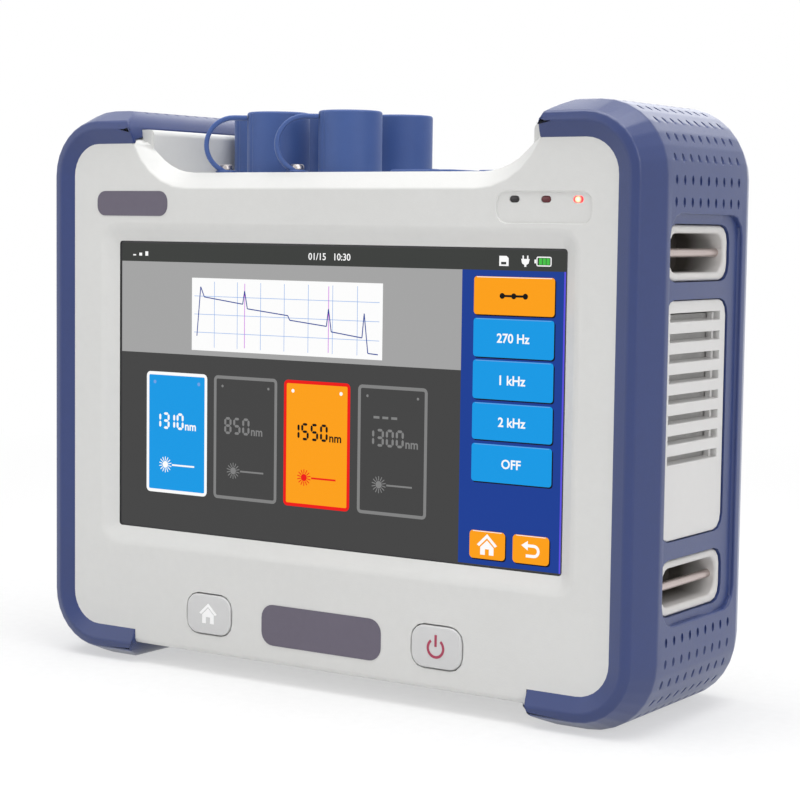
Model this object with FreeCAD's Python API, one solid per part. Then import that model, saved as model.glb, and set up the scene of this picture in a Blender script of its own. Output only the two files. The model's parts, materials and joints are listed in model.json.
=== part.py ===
"""Hand-held optical time domain reflectometer, built as separate pieces in millimetres.

The instrument stands on its two rubber bumpers.  +X is to the right, -Y is the front
with the screen, +Z is up, and the origin is under the middle of the whole instrument.
"""
import FreeCAD
import Part

import math
import os

V = FreeCAD.Vector

# ---- housing ---------------------------------------------------------------------
SCREEN_WIDTH = 154.2         # lit area of a seven inch panel, which sets the instrument's width
SCREEN_HEIGHT = 85.9
HOUSING_WIDTH = SCREEN_WIDTH + 41.8
HOUSING_DEPTH = 64.2         # front face to rear face
HALF_W = HOUSING_WIDTH / 2
HALF_D = HOUSING_DEPTH / 2
HOUSING_BOTTOM = 6.0         # height of the housing's underside above the ground
HOUSING_TOP = 162.0          # height of the two shoulders
CORNER_RADIUS = 14.0         # corners seen from the front
WALL = 2.6                   # moulded wall
EDGE_ROUND = 1.8             # rounding of the front and rear edges
SPLIT_Y = -8.0               # plane where the two halves meet
SEAL_WIDTH = 1.0             # cord of the seal between the halves
SEAL_DEPTH = 1.0
SEAL_INSET = 0.8             # outside of the housing to the seal

# ---- saddle between the shoulders ---------------------------------------------------
DIP_FLAT_HALF = 50.0         # half length of the straight part of each rim
DIP_INNER_FLOOR = HOUSING_TOP - 12.7      # crest of the rim
DIP_FRONT_FLOOR = DIP_INNER_FLOOR - 5.0   # where the bevel meets the front face
DIP_FRONT_RADIUS = 22.0      # hollow curve that rises to the shoulder, on the face
DIP_FRONT_ANGLE = 66.0       # steepest slope of that curve, in degrees
DIP_INNER_RADIUS = 20.0      # the same on the crest
DIP_INNER_ANGLE = 44.0
RIM_STEPS = 5                # straight pieces in each of those curves
RIM_THICKNESS = 4.5          # rim between the saddle's pocket and the face
SHOULDER_ROUND = 2.0
PLATE_TOP = DIP_INNER_FLOOR - 1.0         # top of the connector plate
PLATE_THICKNESS = 2.5
PLATE_GAP = 0.2
LEDGE_WIDTH = 4.0            # ledge that carries the plate
LEDGE_THICKNESS = 2.8

# ---- rubber bumpers -------------------------------------------------------------------
BUMPER_LIP = 4.3             # how far the lip reaches over each face
LIP_SEAT_DEPTH = 1.2         # step in the face that the lip fills
LIP_HEIGHT = 1.9             # how far the lip stands proud of the face
BUMPER_RIDGE = 6.0           # thickness at the side, which the instrument stands on
RIDGE_Y = HALF_D - 7.5       # half the width of that flat side
LIP_FLAT_WIDTH = 2.5
LIP_FLAT_DROP = 0.7
TOP_ARM_END = HALF_W - 28.0  # x of the arms' ends
BOTTOM_ARM_END = HALF_W - 29.0
ARM_END_ROUND = 6.0
PANEL_DEPTH = 1.3            # shallow panel that frames the side windows
PANEL_BOTTOM = HOUSING_BOTTOM + 23.0
PANEL_TOP = HOUSING_TOP - 24.0
PANEL_HALF_DEPTH = 22.0
PANEL_RADIUS = 6.0

# ---- side windows, measured along Y and Z -----------------------------------------------
WINDOW_CENTRE_Y = -2.5
WINDOW_LENGTH = 37.4
WINDOW_RADIUS = 4.5
WINDOW_GAP = 0.2
FRAME_OUTER_X = HALF_W + 4.3 # outer face of what fills the windows
UPPER_SLOT_Z = HOUSING_TOP - 34.2
LOWER_SLOT_Z = HOUSING_BOTTOM + 32.9
SLOT_HEIGHT = 15.0
SLOT_RIM = 2.3               # rim around the strap slot's mouth
SLOT_FLOOR_X = HALF_W - 10.0
SLOT_WALL = 1.5
BAR_RADIUS = 1.2
BAR_X = HALF_W + 1.4
GRILLE_BOTTOM = LOWER_SLOT_Z + 12.6
GRILLE_TOP = UPPER_SLOT_Z - 12.5
GRILLE_THICKNESS = 3.0
LOUVRE_COUNT = 8
LOUVRE_PITCH = 5.4
LOUVRE_GAP = 2.4
LOUVRE_TOP = GRILLE_TOP - 3.7         # upper edge of the first gap
LOUVRE_MARGIN = 3.4          # from the window's side to the ends of the gaps
LOUVRE_SLANT = 1.2           # how much each gap climbs on its way in
GRILLE_RIB = 1.2

# ---- display ------------------------------------------------------------------------------
SCREEN_Z = 85.0
BEZEL_WIDTH = SCREEN_WIDTH + 10.0     # mouth of the sloping bezel
BEZEL_HEIGHT = SCREEN_HEIGHT + 10.1
BEZEL_RADIUS = 5.0
BEZEL_MARGIN = 0.6           # bezel's foot to the lit area
BEZEL_FOOT_RADIUS = 1.0
SCREEN_SEAL = 0.4
GLASS_THICKNESS = 1.2
GLASS_WIDTH = SCREEN_WIDTH + 11.8
GLASS_HEIGHT = SCREEN_HEIGHT + 13.1
GLASS_CORNER = 1.0
LCD_THICKNESS = 5.5
LCD_WIDTH = GLASS_WIDTH - 1.0
LCD_HEIGHT = GLASS_HEIGHT + 1.0
FRAME_THICKNESS = 1.2
FRAME_TAB_X = LCD_WIDTH / 2 + 7.5
FRAME_TAB_Z = (SCREEN_Z - 25.0, SCREEN_Z + 25.0)
FRAME_TAB_HEIGHT = 10.0
BOSS_RADIUS = 3.0

# ---- keys and lights --------------------------------------------------------------------------
KEY_X = 40.2
KEY_Z = 18.1
KEY_WIDTH = 16.4
KEY_HEIGHT = 11.8
KEY_RADIUS = 4.0
KEY_PROUD = 0.5
KEY_GAP = 0.35
KEY_FLANGE = 1.6             # how far the key's flange reaches behind the wall
KEY_FLANGE_THICKNESS = 1.0
KEY_TRAVEL = 0.8
KEY_STEM_RADIUS = 2.0
KEY_STEM_LENGTH = 2.4
KEY_BACK_GAP = 0.1
KEY_BOARD_LENGTH = 2 * KEY_X + 27.6
KEY_BOARD_HEIGHT = 15.0
BOARD_THICKNESS = 1.6
SWITCH_SIZE = 6.0
SWITCH_HEIGHT = 3.4
PLUNGER_HEIGHT = 0.6
PLUNGER_RADIUS = 1.6
LIGHT_RECESS_X = HALF_W - 26.5
LIGHT_RECESS_Z = HOUSING_TOP - 22.65
LIGHT_RECESS_WIDTH = 29.0
LIGHT_RECESS_HEIGHT = 8.5
LIGHT_RECESS_RADIUS = 3.0
LIGHT_RECESS_DEPTH = 0.5
LIGHT_PITCH = 9.65
LIGHT_OFFSET_X = 0.5         # middle light from the recess's middle
LIGHT_Z = LIGHT_RECESS_Z + 2.15
LIGHT_PROUD = 0.2            # lights above the recess's floor
LIGHT_WIDTH = 3.0
LIGHT_HEIGHT = 1.8
LIGHT_COUNT = 3

# ---- connectors on the plate ---------------------------------------------------------------------
PORT_PITCH_X = 26.0
PORT_FIRST_X = -55.8
PORT_ROW_Y = 13.5
POCKET_HALF_LENGTH = 10.0 - PORT_FIRST_X  # pocket that holds the connectors
ADAPTER_NUT_RADIUS = 7.0
ADAPTER_NUT_THICKNESS = 2.0
ADAPTER_BARREL_RADIUS = 4.0
ADAPTER_BARREL_HEIGHT = 10.2     # above the plate
ADAPTER_BODY_RADIUS = 4.5
ADAPTER_BODY_DEPTH = 18.3        # below the plate
ADAPTER_MOUTH_RADIUS = 2.8
SLEEVE_RADIUS = 1.65
FERRULE_RADIUS = 1.25
SLEEVE_LENGTH = 13.5
SLEEVE_RECESS = 1.0              # barrel's end to the sleeve's end
CAP_RADIUS = 9.25
CAP_BORE_RADIUS = 7.6
CAP_HEIGHT = 18.7
CAP_ROOF = 2.6
CAP_SIDES = 28
SEAT_GAP = 0.05                  # light contact between pieces that part
STRAP_THICKNESS = 1.6
STRAP_WIDTH = 5.0
STRAP_DROP = 1.7                 # cap's top to the middle of the strap
STRAP_HEADING = -140.3           # direction in which a strap leaves its cap, in degrees
STRAP_REACH = 22.0               # furthest point of the strap from the port's axis
STRAP_EYE_RADIUS = 3.2
STRAP_BENDS = 7                  # straight pieces in the half turn
STRAP_EYE_X = 15.4               # screw's distance from the port's axis
SCREW_HEAD_RADIUS = 2.1
SCREW_HEAD_HEIGHT = 1.5
SCREW_RADIUS = 1.0
SCREW_LENGTH = 4.0
SCREW_CLEARANCE = 0.3

# ---- doors and sockets on the plate -----------------------------------------------------------------
DOOR_THICKNESS = 1.5
DATA_DOOR_X = (14.0, 36.0)
DATA_DOOR_FRONT = -21.0
DATA_HINGE_Y = 19.5
POWER_DOOR_X = (39.0, 57.5)
POWER_DOOR_FRONT = -14.0
POWER_HINGE_Y = 14.5
DOOR_RADIUS = 3.0
SOCKET_GAP = 0.2
SOCKET_DROP = 0.3                # sockets' mouths below the plate's top
SOCKET_DEPTH = 14.5
DATA_X = sum(DATA_DOOR_X) / 2
JACK_Y = -9.5
JACK_SIZE = (16.0, 14.0)
JACK_MOUTH = (11.8, 8.4)
JACK_DEPTH = 11.0
USB_Y = (3.0, 11.5)
USB_SIZE = (14.4, 7.0)
USB_MOUTH = (12.6, 5.2)
USB_DEPTH = 10.0
USB_TONGUE = (11.0, 1.8)
USB_TONGUE_OFFSET = 1.1
USB_TONGUE_DROP = 1.0            # tongue's end below the mouth
POWER_X = sum(POWER_DOOR_X) / 2
INLET_Y = -4.5
INLET_SIZE = 11.0
INLET_BORE = 3.2
INLET_PIN = 1.0
INLET_DEPTH = 10.0
MICRO_Y = 7.5
MICRO_SIZE = (7.8, 3.0)
MICRO_MOUTH = (6.9, 1.9)
MICRO_DEPTH = 5.0
IO_BOARD_X = (DATA_DOOR_X[0] - 3.0, POWER_DOOR_X[1] + 1.5)
IO_BOARD_HALF_DEPTH = 19.0
IO_HOLE_INSET = 3.0
STANDOFF_RADIUS = 2.0

# ---- inside ---------------------------------------------------------------------------------------------
MAIN_BOARD_HALF_WIDTH = HALF_W - 16.0
MAIN_BOARD_Z = (34.0, 116.0)
MAIN_BOARD_STANDOFF = 6.6
BOARD_HOLE_INSET = 8.0
SHIELD_SIZE = (46.0, 34.0)
SHIELD_HEIGHT = 3.0
SHIELD_RADIUS = 1.5
SHIELD_CENTRE = (-46.0, 96.0)
MODULE_X = (MAIN_BOARD_HALF_WIDTH - 52.0, MAIN_BOARD_HALF_WIDTH)
MODULE_Z = (MAIN_BOARD_Z[0] + 6.0, MAIN_BOARD_Z[1] - 4.0)
MODULE_DEPTH = 12.0
MODULE_FEET = 4.0
MODULE_FOOT_INSET = 5.0
MODULE_RADIUS = 2.0
SPOOL_RADIUS = 24.0
SPOOL_DEPTH = 7.0
SPOOL_HUB_RADIUS = 12.0
SPOOL_FLANGE = 1.0
SPOOL_RIM = 2.0              # flanges' edge beyond the winding
SPEAKER_RADIUS = 12.0
SPEAKER_DEPTH = 4.0
SPEAKER_Z = 60.0

# ---- rear -------------------------------------------------------------------------------------------------
POST_X = HALF_W - 12.0
POST_Z = (HOUSING_BOTTOM + 14.0, HOUSING_TOP - 12.0)
POST_RADIUS = 4.5
POST_BORE = 1.25
CASE_SCREW_RADIUS = 1.25
CASE_SCREW_CLEARANCE = 0.4
CASE_SCREW_HEAD_RADIUS = 2.8
CASE_SCREW_HEAD = 2.0
CASE_SCREW_SINK = 3.0
CASE_SCREW_BITE = 12.0
CASE_SCREW_TIP = 1.0         # room in the post beyond the screw's end
STAND_HALF_WIDTH = 25.0
STAND_Z = (16.0, 96.5)
STAND_THICKNESS = 4.6
STAND_GAP = 0.8
STAND_SINK = 0.4
STAND_RADIUS = 5.0
STAND_PIN_RADIUS = 1.4
STAND_PIN_FIT = 0.06
STAND_PIN_BITE = 2.5
STAND_RIB_DEPTH = 2.2
STAND_WEB = 1.8
STAND_RIB = 2.2
FINGER_RADIUS = 9.0
FINGER_DEPTH = 5.0
BATTERY_DOOR_X = (12.0 - HALF_W, 66.0 - HALF_W)
BATTERY_DOOR_Z = (30.0, 110.0)
BATTERY_DOOR_THICKNESS = 2.4
BATTERY_DOOR_RADIUS = 4.0
BATTERY_DOOR_GAP = 0.25
BAY_LEDGE = 4.0
BAY_WALL = 1.6
BATTERY_GAP = 0.4
BATTERY_DEPTH = 21.0
BATTERY_CORNER = 3.0
DOOR_SCREW_INSET = 5.0
DOOR_GRIP_COUNT = 6
DOOR_GRIP_PITCH = 4.0
DOOR_GRIP_LENGTH = 24.0
DOOR_GRIP_DEPTH = 0.8
DOOR_SCREW_HEAD = 1.2
CONTACT_SIZE = (14.0, 1.2, 6.0)

# ---- worked out from the above -------------------------------------------------------------------------------
POCKET_HALF_DEPTH = HALF_D - RIM_THICKNESS
PLATE_BOTTOM = PLATE_TOP - PLATE_THICKNESS
INNER_FACE = -HALF_D + WALL                   # inside of the front wall
GLASS_FRONT = INNER_FACE + SCREEN_SEAL
LCD_FRONT = GLASS_FRONT + GLASS_THICKNESS
FRAME_FRONT = LCD_FRONT + LCD_THICKNESS
FRAME_BACK = FRAME_FRONT + FRAME_THICKNESS
BOARD_FRONT = FRAME_BACK + MAIN_BOARD_STANDOFF
BOARD_BACK = BOARD_FRONT + BOARD_THICKNESS
MODULE_FRONT = BOARD_BACK + MODULE_FEET
STRAP_Z = PLATE_TOP + CAP_HEIGHT - STRAP_DROP
EYE_BOTTOM = PLATE_TOP + SEAT_GAP
EYE_TOP = EYE_BOTTOM + STRAP_THICKNESS
SOCKET_TOP = PLATE_TOP - SOCKET_DROP
SOCKET_BOTTOM = SOCKET_TOP - SOCKET_DEPTH
STAND_FRONT = HALF_D - STAND_SINK - STAND_THICKNESS
STAND_AXIS_Y = STAND_FRONT + STAND_THICKNESS / 2
STAND_AXIS_Z = STAND_Z[1] - STAND_THICKNESS / 2
WINDOW_Y = (WINDOW_CENTRE_Y - WINDOW_LENGTH / 2, WINDOW_CENTRE_Y + WINDOW_LENGTH / 2)
OVERSHOOT = 2.0                               # cutting tools run past the faces by this
ROUNDING_LIMIT = 0.49
CORNER_CHORDS = 3                             # small rounded corners are made of a few chords
CASE_CHORDS = 8                               # large corners of the housing and the bumpers
CUT_OFF = 1                                   # one chord: the corner is cut off flat


# ---- drawing helpers -----------------------------------------------------------------------------------------
def on_xz(y):
    return lambda a, b: V(a, y, b)


def on_yz(x):
    return lambda a, b: V(x, a, b)


def on_xy(z):
    return lambda a, b: V(a, b, z)


def rounded_wire(corners, place, chords=CORNER_CHORDS):
    """Closed wire through corners (a, b, radius), each rounded by a number of chords."""
    trimmed = []
    count = len(corners)
    for i in range(count):
        a, b, radius = corners[i]
        before, after = corners[i - 1], corners[(i + 1) % count]
        to_before = V(before[0] - a, before[1] - b, 0)
        to_after = V(after[0] - a, after[1] - b, 0)
        if radius <= 0:
            trimmed.append((V(a, b, 0), None, V(a, b, 0)))
            continue
        half = to_before.getAngle(to_after) / 2
        reach = min(radius / math.tan(half),
                    ROUNDING_LIMIT * to_before.Length, ROUNDING_LIMIT * to_after.Length)
        radius = reach * math.tan(half)
        to_before.normalize()
        to_after.normalize()
        corner = V(a, b, 0)
        inward = (to_before + to_after).normalize()
        hub = corner + inward * (radius / math.sin(half))
        middle = hub - inward * radius
        trimmed.append((corner + to_before * reach, middle, corner + to_after * reach))
    edges = []
    for i in range(count):
        start, middle, end = [p and place(p.x, p.y) for p in trimmed[i]]
        if middle:
            edges += chords_of(Part.Arc(start, middle, end).toShape(), chords)
        following = place(trimmed[(i + 1) % count][0].x, trimmed[(i + 1) % count][0].y)
        if (following - end).Length > 1e-6:
            edges.append(Part.LineSegment(end, following).toShape())
    return Part.Wire(edges)


def chords_of(arc, count):
    points = arc.discretize(Number=count + 1)
    return [Part.LineSegment(points[i], points[i + 1]).toShape() for i in range(count)]


def prism(corners, place, travel, chords=CORNER_CHORDS):
    return Part.Face(rounded_wire(corners, place, chords)).extrude(travel)


def rectangle(a0, a1, b0, b1, radius=0.0):
    return [(a0, b0, radius), (a1, b0, radius), (a1, b1, radius), (a0, b1, radius)]


def slab_xz(x0, x1, z0, z1, radius, y0, y1, chords=CORNER_CHORDS):
    return prism(rectangle(x0, x1, z0, z1, radius), on_xz(y0), V(0, y1 - y0, 0), chords)


def slab_yz(y0, y1, z0, z1, radius, x0, x1, chords=CORNER_CHORDS):
    return prism(rectangle(y0, y1, z0, z1, radius), on_yz(x0), V(x1 - x0, 0, 0), chords)


def slab_xy(x0, x1, y0, y1, radius, z0, z1):
    return prism(rectangle(x0, x1, y0, y1, radius), on_xy(z0), V(0, 0, z1 - z0))


def box(x0, x1, y0, y1, z0, z1):
    return Part.makeBox(x1 - x0, y1 - y0, z1 - z0, V(x0, y0, z0))


def rod(radius, start, end):
    return Part.makeCylinder(radius, (end - start).Length, start, end - start)


def stub(radius, start, end, sides=8):
    """Rod with flat sides, for posts, small screws and other forms that aren't seen."""
    axis = end - start
    across = V(1, 0, 0) if abs(axis.x) < abs(axis.z) + abs(axis.y) else V(0, 0, 1)
    turn = FreeCAD.Rotation(axis, 360 / sides)
    arm = across * radius
    corners = []
    for _ in range(sides):
        corners.append(start + arm)
        arm = turn.multVec(arm)
    return Part.Face(Part.makePolygon(corners + corners[:1])).extrude(axis)


def round_fit(radius, start, end):
    """Ten-sided hole that a rod of this radius just passes."""
    sides = 10
    return stub(radius / math.cos(math.pi / sides), start, end, sides)


def flat_face(corners):
    return Part.Face(Part.makePolygon(corners + corners[:1]))


def side_faces(a, b, c, d):
    """One face through four corners if they lie in a plane, otherwise two triangles."""
    normal = (b - a).cross(c - a)
    if abs(normal.dot(d - a)) < 1e-6 * normal.Length:
        return [flat_face([a, b, c, d])]
    return [flat_face([a, b, c]), flat_face([a, c, d])]


def skinned(sections):
    """Solid with flat faces between closed outlines that have the same number of corners."""
    faces = [flat_face(sections[0]), flat_face(sections[-1])]
    for near, far in zip(sections, sections[1:]):
        for i in range(len(near)):
            faces += side_faces(near[i - 1], near[i], far[i], far[i - 1])
    solid = Part.Solid(Part.Shell(faces))
    return solid if solid.Volume > 0 else solid.reversed()


def fused(solids):
    return solids[0].multiFuse(solids[1:]).removeSplitter()


def mirrored(shape):
    """The same piece on the other side of the instrument."""
    return shape.mirror(V(0, 0, 0), V(1, 0, 0))


def port_places():
    """Each port's place along X and Y with its strap's heading: two at the front, three behind."""
    left = PORT_FIRST_X
    middle = left + PORT_PITCH_X
    right = middle + PORT_PITCH_X
    yield middle, -PORT_ROW_Y, STRAP_HEADING
    yield right, -PORT_ROW_Y, STRAP_HEADING
    yield left, PORT_ROW_Y, STRAP_HEADING + 180
    yield middle, PORT_ROW_Y, STRAP_HEADING
    yield right, PORT_ROW_Y, STRAP_HEADING


# ---- housing halves --------------------------------------------------------------------------------------------
def rim_outline(y, floor, radius, angle):
    """Right half of the outline above a rim: a flat floor, a hollow curve and a round shoulder."""
    steep = math.radians(angle)
    crown = (HOUSING_TOP - floor) / (1 - math.cos(steep)) - radius

    def hollow(t):
        return DIP_FLAT_HALF + radius * math.sin(t), floor + radius * (1 - math.cos(t))

    def shoulder(t):
        foot = DIP_FLAT_HALF + (radius + crown) * math.sin(steep)
        return foot - crown * math.sin(t), HOUSING_TOP - crown * (1 - math.cos(t))

    steps = [steep * i / RIM_STEPS for i in range(RIM_STEPS + 1)]
    side = [(0, floor)] + [hollow(t) for t in steps] + [shoulder(t) for t in reversed(steps[:-1])]
    side += [(HALF_W - CORNER_RADIUS, HOUSING_TOP), (HALF_W - CORNER_RADIUS, HOUSING_TOP + OVERSHOOT),
             (0, HOUSING_TOP + OVERSHOOT)]
    return [V(a, y, b) for a, b in side]


def saddle_cutter():
    """Bevelled rims at the front and the rear, and the pocket between them."""
    face = rim_outline(-HALF_D, DIP_FRONT_FLOOR, DIP_FRONT_RADIUS, DIP_FRONT_ANGLE)
    crest = rim_outline(-POCKET_HALF_DEPTH, DIP_INNER_FLOOR, DIP_INNER_RADIUS, DIP_INNER_ANGLE)
    bevel = skinned([face, crest])
    bevel = fused([bevel, mirrored(bevel)])
    rear_bevel = bevel.mirror(V(0, 0, 0), V(0, 1, 0))
    pocket = slab_xy(-POCKET_HALF_LENGTH, POCKET_HALF_LENGTH,
                     -POCKET_HALF_DEPTH, POCKET_HALF_DEPTH, 0,
                     PLATE_BOTTOM, HOUSING_TOP + OVERSHOOT)
    ledge_x = POCKET_HALF_LENGTH - LEDGE_WIDTH
    ledge_y = POCKET_HALF_DEPTH - LEDGE_WIDTH
    well = box(-ledge_x, ledge_x, -ledge_y, ledge_y,
               PLATE_BOTTOM - LEDGE_THICKNESS - OVERSHOOT, PLATE_TOP)
    lip_edges = [pocket]
    for side in (-1, 1):
        edge = side * POCKET_HALF_LENGTH
        corner = box(min(edge, edge + side * SHOULDER_ROUND), max(edge, edge + side * SHOULDER_ROUND),
                     -POCKET_HALF_DEPTH, POCKET_HALF_DEPTH,
                     HOUSING_TOP - SHOULDER_ROUND, HOUSING_TOP + OVERSHOOT)
        centre = V(edge + side * SHOULDER_ROUND, 0, HOUSING_TOP - SHOULDER_ROUND)
        bead = rod(SHOULDER_ROUND, centre + V(0, -POCKET_HALF_DEPTH, 0),
                   centre + V(0, POCKET_HALF_DEPTH, 0))
        lip_edges.append(corner.cut(bead))
    return [bevel, rear_bevel, well] + lip_edges


def window_places():
    """Bottom and top of the three side windows."""
    return [(LOWER_SLOT_Z - SLOT_HEIGHT / 2, LOWER_SLOT_Z + SLOT_HEIGHT / 2),
            (GRILLE_BOTTOM, GRILLE_TOP),
            (UPPER_SLOT_Z - SLOT_HEIGHT / 2, UPPER_SLOT_Z + SLOT_HEIGHT / 2)]


def tub_outline(z, grow=0.0):
    """Section through a strap pocket behind its rim, along Y and Z."""
    y0 = WINDOW_Y[0] + SLOT_RIM - SLOT_WALL - grow
    y1 = WINDOW_Y[1] - SLOT_RIM + SLOT_WALL + grow
    half = SLOT_HEIGHT / 2 - SLOT_RIM + SLOT_WALL + grow
    return rectangle(y0, y1, z - half, z + half, WINDOW_RADIUS - SLOT_RIM + SLOT_WALL)


def side_wall_cutters():
    """Holes in the right side wall for the strap pockets and for the air grille."""
    tools = []
    for z in (LOWER_SLOT_Z, UPPER_SLOT_Z):
        tools.append(prism(tub_outline(z), on_yz(HALF_W - WALL - OVERSHOOT),
                           V(WALL + 2 * OVERSHOOT, 0, 0), CUT_OFF))
    tools.append(slab_yz(WINDOW_Y[0] + LOUVRE_MARGIN, WINDOW_Y[1] - LOUVRE_MARGIN,
                         LOUVRE_TOP - LOUVRE_COUNT * LOUVRE_PITCH, LOUVRE_TOP, 0,
                         HALF_W - WALL - OVERSHOOT, HALF_W + OVERSHOOT))
    return tools


def lip_seats():
    """Steps around the right edge of both faces, where the bumper's lips sit."""
    section = rectangle(-BUMPER_LIP, OVERSHOOT, -HALF_D - OVERSHOOT, -HALF_D + LIP_SEAT_DEPTH)
    front = bumper_sweep([(out, y) for out, y, _ in section])
    rear = front.mirror(V(0, 0, 0), V(0, 1, 0))
    return [front.common(bumper_mask()), rear.common(bumper_mask())]


def key_hole(x):
    return slab_xz(x - KEY_WIDTH / 2 - KEY_GAP, x + KEY_WIDTH / 2 + KEY_GAP,
                   KEY_Z - KEY_HEIGHT / 2 - KEY_GAP, KEY_Z + KEY_HEIGHT / 2 + KEY_GAP,
                   KEY_RADIUS + KEY_GAP, -HALF_D - OVERSHOOT, INNER_FACE + OVERSHOOT)


def light_places():
    middle = (LIGHT_COUNT - 1) / 2
    return [LIGHT_RECESS_X + LIGHT_OFFSET_X + (i - middle) * LIGHT_PITCH for i in range(LIGHT_COUNT)]


def light_pipe(x, y0, y1):
    return slab_xz(x - LIGHT_WIDTH / 2, x + LIGHT_WIDTH / 2, LIGHT_Z - LIGHT_HEIGHT / 2,
                   LIGHT_Z + LIGHT_HEIGHT / 2, LIGHT_HEIGHT * ROUNDING_LIMIT, y0, y1)


def bezel_cutter():
    mouth = rounded_wire(rectangle(-BEZEL_WIDTH / 2, BEZEL_WIDTH / 2, SCREEN_Z - BEZEL_HEIGHT / 2,
                                   SCREEN_Z + BEZEL_HEIGHT / 2, BEZEL_RADIUS),
                         on_xz(-HALF_D))
    half_w = SCREEN_WIDTH / 2 + BEZEL_MARGIN
    half_h = SCREEN_HEIGHT / 2 + BEZEL_MARGIN
    foot = rounded_wire(rectangle(-half_w, half_w, SCREEN_Z - half_h, SCREEN_Z + half_h,
                                  BEZEL_FOOT_RADIUS), on_xz(INNER_FACE))
    return skinned([[v.Point for v in wire.OrderedVertexes] for wire in (mouth, foot)])


def front_details():
    """Solid features inside the front half, and the cuts in its face."""
    posts = [stub(BOSS_RADIUS, V(sx * FRAME_TAB_X, INNER_FACE - WALL / 2, z),
                  V(sx * FRAME_TAB_X, FRAME_FRONT, z)) for sx in (-1, 1) for z in FRAME_TAB_Z]
    cuts = [bezel_cutter(), key_hole(-KEY_X), key_hole(KEY_X)]
    cuts.append(slab_xz(LIGHT_RECESS_X - LIGHT_RECESS_WIDTH / 2, LIGHT_RECESS_X + LIGHT_RECESS_WIDTH / 2,
                        LIGHT_RECESS_Z - LIGHT_RECESS_HEIGHT / 2, LIGHT_RECESS_Z + LIGHT_RECESS_HEIGHT / 2,
                        LIGHT_RECESS_RADIUS, -HALF_D - OVERSHOOT, -HALF_D + LIGHT_RECESS_DEPTH))
    cuts += [light_pipe(x, -HALF_D - OVERSHOOT, INNER_FACE + OVERSHOOT) for x in light_places()]
    return posts, cuts


def case_screw_places():
    return [(sx * POST_X, z) for sx in (-1, 1) for z in POST_Z]


def battery_space(grow):
    """The battery's own outline grown on every side, as far as the rear face."""
    return box(BATTERY_DOOR_X[0] + BAY_LEDGE - grow, BATTERY_DOOR_X[1] - BAY_LEDGE + grow,
               HALF_D - BATTERY_DOOR_THICKNESS - BATTERY_DEPTH - grow, HALF_D - WALL,
               BATTERY_DOOR_Z[0] + BAY_LEDGE - grow, BATTERY_DOOR_Z[1] - BAY_LEDGE + grow)


def rear_details():
    """Solid features inside the rear half, and the cuts in its face."""
    gap = STAND_GAP
    wall = WALL
    tub = box(-STAND_HALF_WIDTH - gap - wall, STAND_HALF_WIDTH + gap + wall,
              STAND_FRONT - gap - wall, HALF_D - WALL,
              STAND_Z[0] - gap - wall, STAND_Z[1] + gap + wall)
    bay = battery_space(BATTERY_GAP + BAY_WALL)
    ledge = box(BATTERY_DOOR_X[0] - BAY_WALL, BATTERY_DOOR_X[1] + BAY_WALL,
                HALF_D - BATTERY_DOOR_THICKNESS - BAY_WALL, HALF_D - WALL,
                BATTERY_DOOR_Z[0] - BAY_WALL, BATTERY_DOOR_Z[1] + BAY_WALL)
    side, low, high = STAND_HALF_WIDTH + gap, STAND_Z[0] - gap, STAND_Z[1] + gap
    recess = prism([(-side, low, STAND_RADIUS), (side, low, STAND_RADIUS), (side, high, 0), (-side, high, 0)],
                   on_xz(STAND_FRONT - gap), V(0, HALF_D + OVERSHOOT - STAND_FRONT + gap, 0))
    finger = stub(FINGER_RADIUS, V(0, STAND_FRONT - gap, STAND_Z[0] - gap + FINGER_DEPTH / 2),
                  V(0, HALF_D + OVERSHOOT, STAND_Z[0] - gap + FINGER_DEPTH / 2), sides=16)
    finger = finger.common(box(-FINGER_RADIUS, FINGER_RADIUS, 0, HALF_D + OVERSHOOT,
                               HOUSING_BOTTOM + WALL, SCREEN_Z))
    battery = battery_space(BATTERY_GAP)
    battery = battery.fuse(battery.copy().translated(V(0, WALL, 0)))
    door = slab_xz(BATTERY_DOOR_X[0] - BATTERY_DOOR_GAP, BATTERY_DOOR_X[1] + BATTERY_DOOR_GAP,
                   BATTERY_DOOR_Z[0] - BATTERY_DOOR_GAP, BATTERY_DOOR_Z[1] + BATTERY_DOOR_GAP,
                   BATTERY_DOOR_RADIUS, HALF_D - BATTERY_DOOR_THICKNESS, HALF_D + OVERSHOOT)
    pin = round_fit(STAND_PIN_RADIUS, *stand_pin_ends())
    return [tub, bay, ledge], [recess, finger, battery, door, pin]


def stand_pin_ends():
    reach = STAND_HALF_WIDTH + STAND_GAP + STAND_PIN_BITE
    return V(-reach, STAND_AXIS_Y, STAND_AXIS_Z), V(reach, STAND_AXIS_Y, STAND_AXIS_Z)


def edge_roundings():
    """Tools that round the straight edges of both faces, between the corners' bumpers."""
    half = HALF_W - CORNER_RADIUS
    tools = []
    for sy in (-1, 1):
        for edge_z, inward in ((HOUSING_BOTTOM, 1), (HOUSING_TOP, -1)):
            y, z = sy * (HALF_D - EDGE_ROUND), edge_z + inward * EDGE_ROUND
            corner = box(-half, half, min(y, sy * HALF_D), max(y, sy * HALF_D),
                         min(z, edge_z), max(z, edge_z))
            tools.append(corner.cut(rod(EDGE_ROUND, V(-half, y, z), V(half, y, z))))
    return tools


def housing_form():
    """Outer form of both halves in one solid, with the saddle and the seats of the lips."""
    form = slab_xz(-HALF_W, HALF_W, HOUSING_BOTTOM, HOUSING_TOP, CORNER_RADIUS, -HALF_D, HALF_D, CASE_CHORDS)
    seats = lip_seats()
    for cut in edge_roundings() + saddle_cutter() + seats + [mirrored(s) for s in seats]:
        form = form.cut(cut)
    return form


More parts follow.
